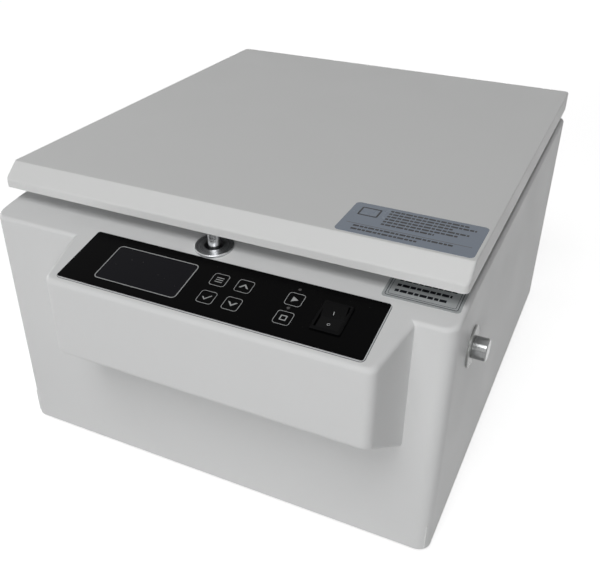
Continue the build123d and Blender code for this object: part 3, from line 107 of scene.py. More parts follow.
class Socket(Enum):
    """The kinds of socket that the shared groups have."""

    NUMBER = "NodeSocketFloat"
    VECTOR = "NodeSocketVector"
    COLOUR = "NodeSocketColor"


# Shared shader groups


def set_inputs(node: Node, sources: dict[str | int, object]) -> None:
    """Fills a node's inputs.

    Args:
        node: The node.
        sources: The socket or the value for each input.
    """
    for label, source in sources.items():
        if isinstance(source, NodeSocket):
            node.id_data.links.new(source, node.inputs[label])
        else:
            node.inputs[label].default_value = source


def add_node(tree: NodeTree, kind: str, sources: dict[str | int, object], **settings: object) -> Node:
    """Adds a node to a tree.

    Args:
        tree: The node tree.
        kind: The node's type name.
        sources: The socket or the value for each input.
        settings: Attributes to set on it.

    Returns:
        The new node.
    """
    made = tree.nodes.new(kind)
    for key, value in settings.items():
        setattr(made, key, value)
    set_inputs(made, sources)
    return made


NOISE_SPAN = (0.3, 0.7)
LINT_PER_METRE = 160
LINT_REACH = 0.06
WEAR_PER_METRE = 18
TRACK_REACH = 0.09
STREAK_SHADE = 0.84
TRACK_SHADE = 1.9

ROUGHNESS_INPUTS = (("Smooth Roughness", Socket.NUMBER, 0.3), ("Rough Roughness", Socket.NUMBER, 0.4))
ROUGHNESS_OUTPUTS = (("Roughness", Socket.NUMBER), ("Height", Socket.NUMBER))


@dataclass
class GroupSheet:
    """A shader node group while it is being laid out.

    Args:
        name: The group's name.
        inputs: Name, kind and default of each input.
        outputs: Name and kind of each output.
    """

    name: str
    inputs: Sequence[tuple[str, Socket, object]]
    outputs: Sequence[tuple[str, Socket]]
    tree: NodeTree = field(init=False)
    entry: Node = field(init=False)
    exit: Node = field(init=False)

    def __post_init__(self) -> None:
        """Makes the empty group with its sockets."""
        self.tree = bpy.data.node_groups.new(self.name, "ShaderNodeTree")
        for label, kind, default in self.inputs:
            socket = self.tree.interface.new_socket(name=label, in_out="INPUT", socket_type=kind.value)
            socket.default_value = default
        for label, kind in self.outputs:
            self.tree.interface.new_socket(name=label, in_out="OUTPUT", socket_type=kind.value)
        self.entry = self.tree.nodes.new("NodeGroupInput")
        self.exit = self.tree.nodes.new("NodeGroupOutput")

    def node(self, kind: str, sources: dict[str | int, object], **settings: object) -> Node:
        """Adds a node.

        Args:
            kind: The node's type name.
            sources: The socket, the name of one of the group's inputs or the value for each input.
            settings: Attributes to set on it.

        Returns:
            The new node.
        """
        found = {}
        for label, source in sources.items():
            found[label] = self.entry.outputs[source] if isinstance(source, str) else source
        return add_node(self.tree, kind, found, **settings)

    def maths(self, operation: str, first: object, second: object) -> NodeSocket:
        """Adds a Math node and returns its result."""
        return self.node("ShaderNodeMath", {0: first, 1: second}, operation=operation).outputs[0]

    def vector(self, operation: str, *sources: object) -> NodeSocket:
        """Adds a Vector Math node and returns its vector, or its length for LENGTH."""
        made = self.node("ShaderNodeVectorMath", dict(enumerate(sources)), operation=operation)
        return made.outputs["Value" if operation == "LENGTH" else 0]

    def place(self) -> NodeSocket:
        """Returns the socket of the piece's own coordinates."""
        return self.node("ShaderNodeTexCoord", {}).outputs["Object"]

    def give(self, **results: NodeSocket) -> NodeTree:
        """Links the results to the outputs of the same names and returns the finished group."""
        set_inputs(self.exit, results)
        return self.tree

    def wear(self, value: NodeSocket) -> NodeSocket:
        """Maps a noise onto the group's span of roughness.

        Args:
            value: The noise.

        Returns:
            The roughness.
        """
        low, high = NOISE_SPAN
        sources = {"From Min": low, "From Max": high, "Value": value}
        sources |= {"To Min": "Smooth Roughness", "To Max": "Rough Roughness"}
        return self.node("ShaderNodeMapRange", sources).outputs["Result"]


def make_mottle() -> NodeTree:
    """Makes the group that drifts slowly between two colours.

    Returns:
        The finished group.
    """
    sheet = GroupSheet(
        "SurfaceMottle",
        [
            ("Scale", Socket.NUMBER, 6.0),
            ("Dark Colour", Socket.COLOUR, (0.5, 0.5, 0.5, 1)),
            ("Light Colour", Socket.COLOUR, (0.6, 0.6, 0.6, 1)),
            ("Dust", Socket.NUMBER, 0.0),
            ("Dust Colour", Socket.COLOUR, (0.6, 0.58, 0.54, 1)),
        ],
        [("Colour", Socket.COLOUR)],
    )
    noise = sheet.node("ShaderNodeTexNoise", {"Vector": sheet.place(), "Scale": "Scale", "Detail": 4})
    tones = {"Factor": noise.outputs["Fac"], "A": "Dark Colour", "B": "Light Colour"}
    blend = sheet.node("ShaderNodeMix", tones, data_type="RGBA")
    lint = sheet.node("ShaderNodeTexVoronoi", {"Vector": sheet.place(), "Scale": LINT_PER_METRE})
    fleck = sheet.maths("LESS_THAN", lint.outputs["Distance"], LINT_REACH)
    amount = sheet.maths("MULTIPLY", fleck, "Dust")
    tones = {"Factor": amount, "A": blend.outputs["Result"], "B": "Dust Colour"}
    dusted = sheet.node("ShaderNodeMix", tones, data_type="RGBA")
    return sheet.give(Colour=dusted.outputs["Result"])


def make_grain() -> NodeTree:
    """Makes the group of even fine grain: orange peel, moulding texture or casting skin.

    Returns:
        The finished group.
    """
    inputs = (("Scale", Socket.NUMBER, 900.0), *ROUGHNESS_INPUTS)
    sheet = GroupSheet("SurfaceGrain", inputs, ROUGHNESS_OUTPUTS)
    fine = sheet.node("ShaderNodeTexNoise", {"Vector": sheet.place(), "Scale": "Scale", "Detail": 3})
    broad = sheet.node("ShaderNodeTexNoise", {"Vector": sheet.place(), "Scale": WEAR_PER_METRE, "Detail": 5})
    return sheet.give(Roughness=sheet.wear(broad.outputs["Fac"]), Height=fine.outputs["Fac"])


def make_brushed() -> NodeTree:
    """Makes the group of straight brushed lines.

    Returns:
        The finished group.
    """
    inputs = (("Stretch", Socket.VECTOR, Grain.ALONG_X.value), *ROUGHNESS_INPUTS)
    sheet = GroupSheet("BrushedLines", inputs, (*ROUGHNESS_OUTPUTS, ("Shade", Socket.NUMBER)))
    scaled = sheet.vector("MULTIPLY", sheet.place(), "Stretch")
    lines = sheet.node("ShaderNodeTexNoise", {"Vector": scaled, "Scale": 1, "Detail": 3}).outputs["Fac"]
    return sheet.give(Roughness=sheet.wear(lines), Height=lines, Shade=lines)


def make_turned() -> NodeTree:
    """Makes the group of fine rings that a lathe leaves.

    Returns:
        The finished group.
    """
    inputs = (
        ("Centre", Socket.VECTOR, (0.0, 0.0, 0.0)),
        ("Across", Socket.VECTOR, Spindle.UPRIGHT.value),
        ("Ring Scale", Socket.NUMBER, 1500.0),
        *ROUGHNESS_INPUTS,
    )
    sheet = GroupSheet("TurnedRings", inputs, (*ROUGHNESS_OUTPUTS, ("Shade", Socket.NUMBER)))
    offset = sheet.vector("SUBTRACT", sheet.place(), "Centre")
    flat = sheet.vector("MULTIPLY", offset, "Across")
    along = sheet.vector("SUBTRACT", offset, flat)
    total = sheet.maths("ADD", sheet.vector("LENGTH", flat), sheet.vector("LENGTH", along))
    noise = {"W": total, "Scale": "Ring Scale", "Detail": 2}
    rings = sheet.node("ShaderNodeTexNoise", noise, noise_dimensions="1D").outputs["Fac"]
    return sheet.give(Roughness=sheet.wear(rings), Height=rings, Shade=rings)


def make_tracks() -> NodeTree:
    """Makes the group of copper tracks under solder mask.

    Returns:
        The finished group.
    """
    outputs = (("Mask", Socket.NUMBER), ("Height", Socket.NUMBER))
    sheet = GroupSheet("BoardTracks", (("Scale", Socket.NUMBER, 170.0),), outputs)
    sources = {"Vector": sheet.place(), "Scale": "Scale"}
    cells = sheet.node("ShaderNodeTexVoronoi", sources, feature="DISTANCE_TO_EDGE")
    track = sheet.maths("LESS_THAN", cells.outputs["Distance"], TRACK_REACH)
    return sheet.give(Mask=track, Height=track)


MOTTLE_GROUP = make_mottle()
GRAIN_GROUP = make_grain()
BRUSHED_GROUP = make_brushed()
TURNED_GROUP = make_turned()
TRACKS_GROUP = make_tracks()


def add_group(tree: NodeTree, group: NodeTree, values: dict[str | int, object]) -> Node:
    """Adds a shared group to a material and returns its node."""
    return add_node(tree, "ShaderNodeGroup", values, node_tree=group)


# Finishes


@dataclass(frozen=True)
class Finish:
    """A procedural finish, written in linear colour.

    Args:
        name: The material's name.
        colour: The main colour.
        roughness: The lowest and highest roughness.
        texture: The kind of relief.
        metallic: 1 for bare metal.
        contrast: How far the colour drifts either way, as a share.
        drift: How many drifts of colour there are in a metre.
        scale: How many grains or rings there are in a metre.
        relief: The depth of the grain in millimetres.
        dust: How much of each fleck of lint shows.
        specular: The specular level.
        spindle: What turned rings go round.
        centre: A point on that line, in millimetres.
        grain: The way that brushed lines run.
    """

    name: str
    colour: Colour
    roughness: tuple[float, float]
    texture: Texture = Texture.GRAIN
    metallic: float = 0.0
    contrast: float = 0.03
    drift: float = 9.0
    scale: float = 900.0
    relief: float = 0.006
    dust: float = 0.0
    specular: float = 0.5
    spindle: Spindle = Spindle.UPRIGHT
    centre: Spot = (0.0, 0.0, 0.0)
    grain: Grain = Grain.ALONG_X

    def shade(self, share: float) -> tuple[float, float, float, float]:
        """Returns the main colour scaled by a share, with alpha."""
        red, green, blue = (min(1.0, part * share) for part in self.colour)
        return (red, green, blue, 1.0)

    def material(self) -> Material:
        """Makes the Blender material, the first time that it is asked for.

        Returns:
            The material.
        """
        title = f"finish_{self.name}"
        found = bpy.data.materials.get(title)
        if found is not None:
            return found
        made = bpy.data.materials.new(title)
        made.use_nodes = True
        made.diffuse_color = self.shade(1)
        self.lay_out(made.node_tree)
        return made

    def lay_out(self, tree: NodeTree) -> None:
        """Lays out the finish's nodes.

        Args:
            tree: The material's node tree.
        """
        tones = {"Dark Colour": self.shade(1 - self.contrast), "Light Colour": self.shade(1 + self.contrast)}
        mottle = add_group(tree, MOTTLE_GROUP, {"Scale": self.drift, "Dust": self.dust, **tones})
        colour = mottle.outputs["Colour"]
        surface = self.surface(tree).outputs
        if "Shade" in surface:
            colour = self.streak(tree, colour, surface["Shade"])
        if "Mask" in surface:
            colour = self.print_tracks(tree, colour, surface["Mask"])
        relief = {"Strength": 1, "Distance": self.relief * MM, "Height": surface["Height"]}
        normal = add_node(tree, "ShaderNodeBump", relief).outputs["Normal"]
        roughness = surface["Roughness"] if "Roughness" in surface else self.roughness[0]
        sources = {"Base Color": colour, "Roughness": roughness, "Normal": normal}
        sources |= {"Metallic": self.metallic, "Specular IOR Level": self.specular}
        set_inputs(tree.nodes["Principled BSDF"], sources)

    def surface(self, tree: NodeTree) -> Node:
        """Adds the group that gives the finish its relief.

        Args:
            tree: The material's node tree.

        Returns:
            The group node.
        """
        if self.texture is Texture.BOARD:
            return add_group(tree, TRACKS_GROUP, {})
        smooth, rough = self.roughness
        values: dict[str | int, object] = {"Smooth Roughness": smooth, "Rough Roughness": rough}
        if self.texture is Texture.BRUSHED:
            return add_group(tree, BRUSHED_GROUP, values | {"Stretch": self.grain.value})
        if self.texture is Texture.TURNED:
            centre = [part * MM for part in self.centre]
            values |= {"Centre": centre, "Across": self.spindle.value, "Ring Scale": self.scale}
            return add_group(tree, TURNED_GROUP, values)
        return add_group(tree, GRAIN_GROUP, values | {"Scale": self.scale})

    def streak(self, tree: NodeTree, colour: NodeSocket, shade: NodeSocket) -> NodeSocket:
        """Darkens the colour a little in the low lines of brushed or turned metal.

        Args:
            tree: The material's node tree.
            colour: The colour so far.
            shade: The height of the lines.

        Returns:
            The darkened colour.
        """
        low, high = NOISE_SPAN
        span = {"Value": shade, "From Min": low, "From Max": high, "To Min": STREAK_SHADE, "To Max": 1}
        level = add_node(tree, "ShaderNodeMapRange", span).outputs["Result"]
        sources = {0: colour, "Scale": level}
        return add_node(tree, "ShaderNodeVectorMath", sources, operation="SCALE").outputs[0]

    def print_tracks(self, tree: NodeTree, colour: NodeSocket, mask: NodeSocket) -> NodeSocket:
        """Returns the colour, lightened where a track runs under the solder mask."""
        tones = {"Factor": mask, "A": colour, "B": self.shade(TRACK_SHADE)}
        return add_node(tree, "ShaderNodeMix", tones, data_type="RGBA").outputs["Result"]


CHAMBER_CENTRE = (-7.0, 42.0, 0.0)
LATCH_CENTRE = (-7.0, -192.0, 0.0)
KNOB_CENTRE = (0.0, -157.0, 188.0)

HOUSING_PAINT = Finish(
    "housing_paint", (0.785, 0.79, 0.79), (0.33, 0.41), contrast=0.012, relief=0.003, specular=0.1
)
LID_PAINT = Finish(
    "lid_paint", (0.785, 0.79, 0.785), (0.33, 0.4), contrast=0.012, relief=0.003, specular=0.15
)
BASE_COAT = Finish("base_coat", (0.19, 0.195, 0.2), (0.5, 0.65), scale=1600, relief=0.02)
PRIMER = Finish("primer", (0.10, 0.105, 0.11), (0.55, 0.7), scale=600, relief=0.03)
RUBBER = Finish("rubber", (0.022, 0.022, 0.023), (0.62, 0.8), scale=1500, relief=0.02, dust=0.15)
SEAL_RUBBER = Finish("seal_rubber", (0.035, 0.035, 0.037), (0.55, 0.7), scale=1200, dust=0.1)
ZINC_PLATE = Finish(
    "zinc_plate", (0.62, 0.62, 0.6), (0.22, 0.38), metallic=1, scale=1800, contrast=0.08, drift=60
)
SPUN_STEEL = Finish(
    "spun_steel", (0.56, 0.57, 0.58), (0.2, 0.4), Texture.TURNED, metallic=1, centre=CHAMBER_CENTRE
)
BRUSHED_STEEL = Finish("brushed_steel", (0.55, 0.56, 0.57), (0.24, 0.42), Texture.BRUSHED, metallic=1)
CASTING = Finish("casting", (0.06, 0.065, 0.07), (0.5, 0.7), scale=350, relief=0.12, contrast=0.1)
GROUND_STEEL = Finish("ground_steel", (0.55, 0.55, 0.56), (0.16, 0.28), Texture.BRUSHED, metallic=1)
ROTOR_METAL = Finish(
    "rotor_metal", (0.5, 0.51, 0.53), (0.25, 0.42), Texture.BRUSHED, metallic=1, grain=Grain.ALONG_Y
)
CARRIER_METAL = Finish("carrier_metal", (0.62, 0.63, 0.65), (0.32, 0.46), metallic=1, scale=2200)
LINER_METAL = Finish("liner_metal", (0.66, 0.67, 0.68), (0.26, 0.42), Texture.BRUSHED, metallic=1)
WASHER_CHROME = Finish(
    "washer_chrome", (0.6, 0.61, 0.62), (0.22, 0.34), Texture.TURNED, metallic=1, scale=2600,
    centre=LATCH_CENTRE,
)
PIN_STEEL = Finish(
    "pin_steel", (0.62, 0.63, 0.64), (0.2, 0.3), Texture.TURNED, metallic=1, scale=2600, centre=LATCH_CENTRE
)
KNOB_CHROME = Finish(
    "knob_chrome", (0.24, 0.245, 0.245), (0.14, 0.22), Texture.TURNED, metallic=1, scale=2200,
    spindle=Spindle.SIDEWAYS, centre=KNOB_CENTRE,
)
KNOB_PLATE = Finish(
    "knob_plate", (0.27, 0.275, 0.27), (0.26, 0.36), Texture.TURNED, metallic=0.5, scale=1600,
    spindle=Spindle.SIDEWAYS, centre=KNOB_CENTRE,
)
DIE_CAST = Finish("die_cast", (0.42, 0.42, 0.43), (0.4, 0.55), metallic=1, scale=700, relief=0.02)
LABEL_BLUE = Finish("label_blue", (0.20, 0.24, 0.30), (0.22, 0.28), scale=1300, relief=0.002, specular=0.25)
LABEL_SILVER = Finish(
    "label_silver", (0.44, 0.46, 0.465), (0.2, 0.28), scale=1300, relief=0.002, specular=0.3
)
LABEL_INK = Finish("label_ink", (0.008, 0.009, 0.012), (0.3, 0.4), scale=1300, relief=0.002, specular=0.2)
LABEL_LINE = Finish("label_line", (0.045, 0.05, 0.06), (0.3, 0.4), scale=1300, relief=0.002)
FILM = Finish(
    "film_black", (0.0022, 0.0022, 0.0024), (0.16, 0.22), scale=1500, relief=0.0015, dust=0.02,
    specular=0.02,
)
DISPLAY = Finish(
    "display_tint", (0.0065, 0.0065, 0.009), (0.12, 0.16), scale=700, relief=0.001, dust=0.12,
    specular=0.04,
)
FILM_PRINT = Finish("film_print", (0.42, 0.43, 0.43), (0.22, 0.3), scale=1500, relief=0.002, specular=0.1)
FILM_EDGE = Finish("film_edge", (0.66, 0.67, 0.68), (0.22, 0.3), scale=1500, relief=0.003)
# Painted shadow: the colour of the thin dark band round the film, where shade falls between film and
# housing.
FILM_SHADOW = Finish("film_edge_shadow", (0.14, 0.145, 0.15), (0.5, 0.6), scale=1500, relief=0.003)
LED_LENS = Finish("led_lens", (0.03, 0.028, 0.027), (0.1, 0.16), relief=0.001)
BLACK_PLASTIC = Finish(
    "black_plastic", (0.012, 0.012, 0.013), (0.3, 0.4), scale=1800, relief=0.012, specular=0.2
)
SWITCH_BLACK = Finish(
    "switch_black", (0.0025, 0.0025, 0.0028), (0.2, 0.28), scale=1900, relief=0.004, specular=0.04
)
ROCKER_GLOSS = Finish(
    "rocker_gloss", (0.0022, 0.0022, 0.0025), (0.08, 0.14), relief=0.001, dust=0.02, specular=0.06
)
SOLDER_MASK = Finish("solder_mask", (0.012, 0.09, 0.035), (0.3, 0.4), Texture.BOARD, relief=0.03)
BRASS = Finish("brass", (0.62, 0.47, 0.2), (0.2, 0.34), metallic=1, scale=1500, contrast=0.06)
HEATSINK = Finish("heatsink", (0.03, 0.03, 0.033), (0.35, 0.5), Texture.BRUSHED, metallic=0.7)
SLEEVE = Finish("capacitor_sleeve", (0.01, 0.02, 0.05), (0.2, 0.3), relief=0.002)


# Outlines and thin pieces

SHARP_ANGLE = math.radians(35)
LEAST_MITRE = 0.35
LEAST_RADIUS = 0.1


def rounded_loop(width: float, length: float, radius: float, centre: Point = (0, 0), steps: int = 6) -> Loop:
    """Returns the outline of a rounded rectangle in millimetres.

    Args:
        width: Size along x.
        length: Size along y.
        radius: Corner radius.
        centre: The middle.
        steps: Sides to a corner.

    Returns:
        The outline's points.
    """
    loop: Loop = []
    for turn, (sx, sy) in enumerate(((1, 1), (-1, 1), (-1, -1), (1, -1))):
        cx = centre[0] + sx * (width / 2 - radius)
        cy = centre[1] + sy * (length / 2 - radius)
        for step in range(steps + 1):
            angle = math.radians(90 * (turn + step / steps))
            loop.append((cx + radius * math.cos(angle), cy + radius * math.sin(angle)))
    return loop


def round_loop(radius: float, centre: Point, steps: int) -> Loop:
    """Returns a circle's outline in millimetres."""
    turns = (2 * math.pi * step / steps for step in range(steps))
    return [(centre[0] + radius * math.cos(turn), centre[1] + radius * math.sin(turn)) for turn in turns]


def bar_loop(low: Point, high: Point) -> Loop:
    """Returns the outline of an upright rectangle between two corners."""
    return [(low[0], low[1]), (high[0], low[1]), (high[0], high[1]), (low[0], high[1])]


def stroke_loop(points: Sequence[Point], width: float) -> Loop:
    """Returns the outline of a bent stroke with mitred corners.

    Args:
        points: The stroke's middle line.
        width: The stroke's width.

    Returns:
        The outline's points.
    """
    left: Loop = []
    right: Loop = []
    for index, point in enumerate(points):
        before = Vector(points[max(index - 1, 0)])
        after = Vector(points[min(index + 1, len(points) - 1)])
        here = Vector(point)
        first = (here - before).normalized() if index else (after - here).normalized()
        second = (after - here).normalized() if index < len(points) - 1 else first
        normal = Vector((-(first.y + second.y), first.x + second.x)).normalized()
        lean = max(LEAST_MITRE, normal.dot(Vector((-first.y, first.x))))
        side = normal * (width / 2 / lean)
        left.append(tuple(here + side))
        right.append(tuple(here - side))
    return left + right[::-1]


def finer(loop: Loop, step: float) -> Loop:
    """Divides the sides of a loop.

    Args:
        loop: The loop.
        step: The longest that a side can be.

    Returns:
        The loop with the points between.
    """
    made: Loop = []
    for (ax, ay), (bx, by) in zip(loop, loop[1:] + loop[:1]):
        parts = max(1, math.ceil(math.hypot(bx - ax, by - ay) / step))
        made.extend((ax + (bx - ax) * k / parts, ay + (by - ay) * k / parts) for k in range(parts))
    return made


@dataclass(frozen=True)
class Shape:
    """A flat shape: one outline with any holes in it."""

    outline: Loop
    holes: tuple[Loop, ...] = ()


def frame_shape(width: float, length: float, radius: float, line: float, centre: Point = (0, 0)) -> Shape:
    """Returns a rounded rectangle of an outer size and radius, drawn with a line of a width."""
    inner = rounded_loop(width - 2 * line, length - 2 * line, max(LEAST_RADIUS, radius - line), centre)
    return Shape(rounded_loop(width, length, radius, centre), (inner,))


def thin_piece(
    name: str, shapes: Sequence[Shape], place: Placer, height: float, finish: Finish, body: str,
    step: float = 0,
) -> Object:
    """Builds a thin solid piece from flat shapes and makes it ride on a body.

    Args:
        name: The piece's name.
        shapes: The flat shapes, in millimetres.
        place: Turns x, y and height in millimetres into a point in metres.
        height: The piece's thickness in millimetres.
        finish: Its finish.
        body: The body that it rides on.
        step: The longest side of an outline, or 0 to keep it.

    Returns:
        The new object.
    """
    built = bmesh.new()
    for shape in shapes:
        edges = []
        for loop in (shape.outline, *shape.holes):
            loop = finer(loop, step) if step else loop
            corners = [built.verts.new((x, y, 0)) for x, y in loop]
            edges += [built.edges.new(pair) for pair in zip(corners, corners[1:] + corners[:1])]
        bmesh.ops.triangle_fill(built, use_beauty=True, edges=edges, normal=(0, 0, 1))
    raised = bmesh.ops.extrude_face_region(built, geom=built.faces[:])
    for vertex in (item for item in raised["geom"] if isinstance(item, BMVert)):
        vertex.co.z = height
    for vertex in built.verts:
        vertex.co = place(*vertex.co)
    bmesh.ops.recalc_face_normals(built, faces=built.faces[:])
    return finish_piece(name, built, finish, body)


def add_object(name: str, data: ID) -> Object:
    """Makes an object and puts it in the scene.

    Args:
        name: The object's name.
        data: Its mesh, lamp or camera.

    Returns:
        The new object.
    """
    made = bpy.data.objects.new(name, data)
    bpy.context.scene.collection.objects.link(made)
    return made


def finish_piece(name: str, built: BMesh, finish: Finish, body: str = "") -> Object:
    """Turns a finished bmesh into an object with a material.

    Args:
        name: The piece's name.
        built: Its mesh.
        finish: Its finish.
        body: The body that it rides on, or nothing for a piece that rides on no body.

    Returns:
        The new object.
    """
    mesh = bpy.data.meshes.new(name)
    built.to_mesh(mesh)
    built.free()
    mesh.materials.append(finish.material())
    piece = add_object(name, mesh)
    if body:
        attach(piece, body)
        log.info("built %s on %s", name, body)
    return piece


def close_skin(built: BMesh, rows: Sequence[list[BMVert]]) -> None:
    """Joins rings of points into a skin that is closed at both ends.

    Args:
        built: The mesh that holds the points.
        rows: The rings in order, with as many points each.
    """
    sides = len(rows[0])
    for low, high in zip(rows, rows[1:]):
        for index in range(sides):
            after = (index + 1) % sides
            built.faces.new((low[index], low[after], high[after], high[index]))
    built.faces.new(rows[0][::-1])
    built.faces.new(rows[-1])
    bmesh.ops.recalc_face_normals(built, faces=built.faces[:])


def turned_piece(
    name: str, profile: Sequence[Point], place: Placer, centre: Point, finish: Finish, body: str,
    steps: int = 48,
) -> Object:
    """Builds a round piece from its half section.

    Args:
        name: The piece's name.
        profile: Radius and height of each point of the section, in millimetres.
        place: Turns x, y and height into a point in metres.
        centre: The middle, in the placer's x and y.
        finish: Its finish.
        body: The body that it rides on.
        steps: Sides to the turn.

    Returns:
        The new object.
    """
    built = bmesh.new()
    rows = []
    for radius, height in profile:
        ring = round_loop(radius, centre, steps)
        rows.append([built.verts.new(place(x, y, height)) for x, y in ring])
    close_skin(built, rows)
    piece = finish_piece(name, built, finish, body)
    piece.data.shade_smooth()
    piece.data.set_sharp_from_angle(angle=SHARP_ANGLE)
    return piece


@dataclass(frozen=True)
class Drape:
    """Lays points on a solid, as seen along one line.

    Args:
        node: The solid.
        origin: Where x and y are 0, in metres.
        across: The direction of x.
        up_slope: The direction of y.
        probe: How far in front of x and y the line starts, in metres.
        lift: The clearance over the solid, in millimetres.
    """

    node: str
    origin: Vector
    across: Vector
    up_slope: Vector
    probe: float = 0.05
    lift: float = 0.02

    def placer(self) -> Placer:
        """Makes the function that lays a point on the solid.

        Returns:
            A function of x, y and height in millimetres that gives a point in metres.
        """
        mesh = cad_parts[self.node].data
        corners_of = [polygon.vertices[:] for polygon in mesh.polygons]
        tree = BVHTree.FromPolygons([vertex.co.copy() for vertex in mesh.vertices], corners_of)
        normal = self.across.cross(self.up_slope)

        def place(x: float, y: float, height: float) -> Vector:
            """Finds the point of the solid under x and y.

            Args:
                x: The place along the direction of x.
                y: The place along the direction of y.
                height: How far to raise the point.

            Returns:
                The raised point.
            """
            start = self.origin + self.across * x * MM + self.up_slope * y * MM + normal * self.probe
            hit = tree.ray_cast(start, -normal, 2 * self.probe)[0]
            if hit is None:
                raise ValueError(f"nothing of {self.node} under {x:.1f}, {y:.1f}")
            return hit + normal * (height + self.lift) * MM

        return place


# Sub-assemblies


Dressing = dict[Finish, tuple[str, ...]]


class SubAssembly:
    """A group of solids that are dressed together, and what is built on them.

    Args:
        solids: The solids that take each finish.
    """

    solids: ClassVar[Dressing] = {}

    def dress(self) -> None:
        """Gives the solids their finishes in place of the materials they came with."""
        for finish, nodes in self.solids.items():
            for name in nodes:
                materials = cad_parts[name].data.materials
                materials.clear()
                materials.append(finish.material())
                log.info("dressed %s in %s", name, finish.name)

    def build(self) -> None:
        """Builds nothing, where the solids alone give the look."""


@dataclass(frozen=True)
class PanelPlane:
    """The sloped plane of the deck's front, which carries the control panel.

    Args:
        middle: The housing's middle in x, in millimetres.
        front: The deck's front edge in y.
        edge_height: That edge's height.
        tilt: The slope in degrees.
    """

    middle: float = -7.0
    front: float = -220.0
    edge_height: float = 239.9228
    tilt: float = 12.0

    @property
    def across(self) -> Vector:
        """The direction of x in the plane."""
        return Vector((1, 0, 0))

    @property
    def up_slope(self) -> Vector:
        """The direction of y in the plane."""
        turn = math.radians(self.tilt)
        return Vector((0, math.cos(turn), math.sin(turn)))

    @property
    def normal(self) -> Vector:
        """The direction out of the plane."""
        return self.across.cross(self.up_slope)

    @property
    def origin(self) -> Vector:
        """Where x and y are 0, in metres."""
        return Vector((self.middle, self.front, self.edge_height)) * MM

    def point(self, x: float, y: float, height: float) -> Vector:
        """Returns a point in metres from x, y and height in millimetres."""
        return self.origin + (self.across * x + self.up_slope * y + self.normal * height) * MM

    def top_of(self, node: str) -> float:
        """Returns how far a solid stands above the plane, in millimetres."""
        normal, origin = self.normal, self.origin
        return max((v.co - origin).dot(normal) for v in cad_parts[node].data.vertices) / MM

    def raised(self, base: float) -> Placer:
        """Returns a placer whose height starts at a base."""
        return lambda x, y, height: self.point(x, y, base + height)


# Sizes of the keys' marks in millimetres. The square's are its width, length, radius and line.
LINES_HALF = 3.2
LINES_RISE = 0.36
LINES_PITCH = 2.3
TICK_PATH = ((-3.3, 0.0), (-0.9, -2.5), (3.5, 2.6))
TICK_WIDTH = 0.95
ARROW = ((-4.2, -2.0), (0.0, 2.6), (4.2, -2.0), (2.5, -2.0), (0.0, 0.7), (-2.5, -2.0))
TRIANGLE = ((-2.2, -2.9), (3.0, 0.0), (-2.2, 2.9))
SQUARE = (5.4, 5.4, 0.4, 0.9)


class Symbol(Enum):
    """The generic marks on the keys."""

    LINES = "lines"
    TICK = "tick"
    UP = "up"
    DOWN = "down"
    START = "start"
    STOP = "stop"

    def shapes(self, centre: Point) -> list[Shape]:
        """Draws the mark.

        Args:
            centre: The mark's middle.

        Returns:
            Its shapes.
        """
        cx, cy = centre
        if self is Symbol.LINES:
            left, right = cx - LINES_HALF, cx + LINES_HALF
            levels = (cy - LINES_PITCH, cy, cy + LINES_PITCH)
            return [Shape(bar_loop((left, y - LINES_RISE), (right, y + LINES_RISE))) for y in levels]
        if self is Symbol.TICK:
            return [Shape(stroke_loop([(cx + x, cy + y) for x, y in TICK_PATH], TICK_WIDTH))]
        if self in (Symbol.UP, Symbol.DOWN):
            way = 1 if self is Symbol.UP else -1
            return [Shape([(cx + x, cy + y * way) for x, y in ARROW])]
        if self is Symbol.START:
            return [Shape([(cx + x, cy + y) for x, y in TRIANGLE])]
        return [frame_shape(*SQUARE, centre)]


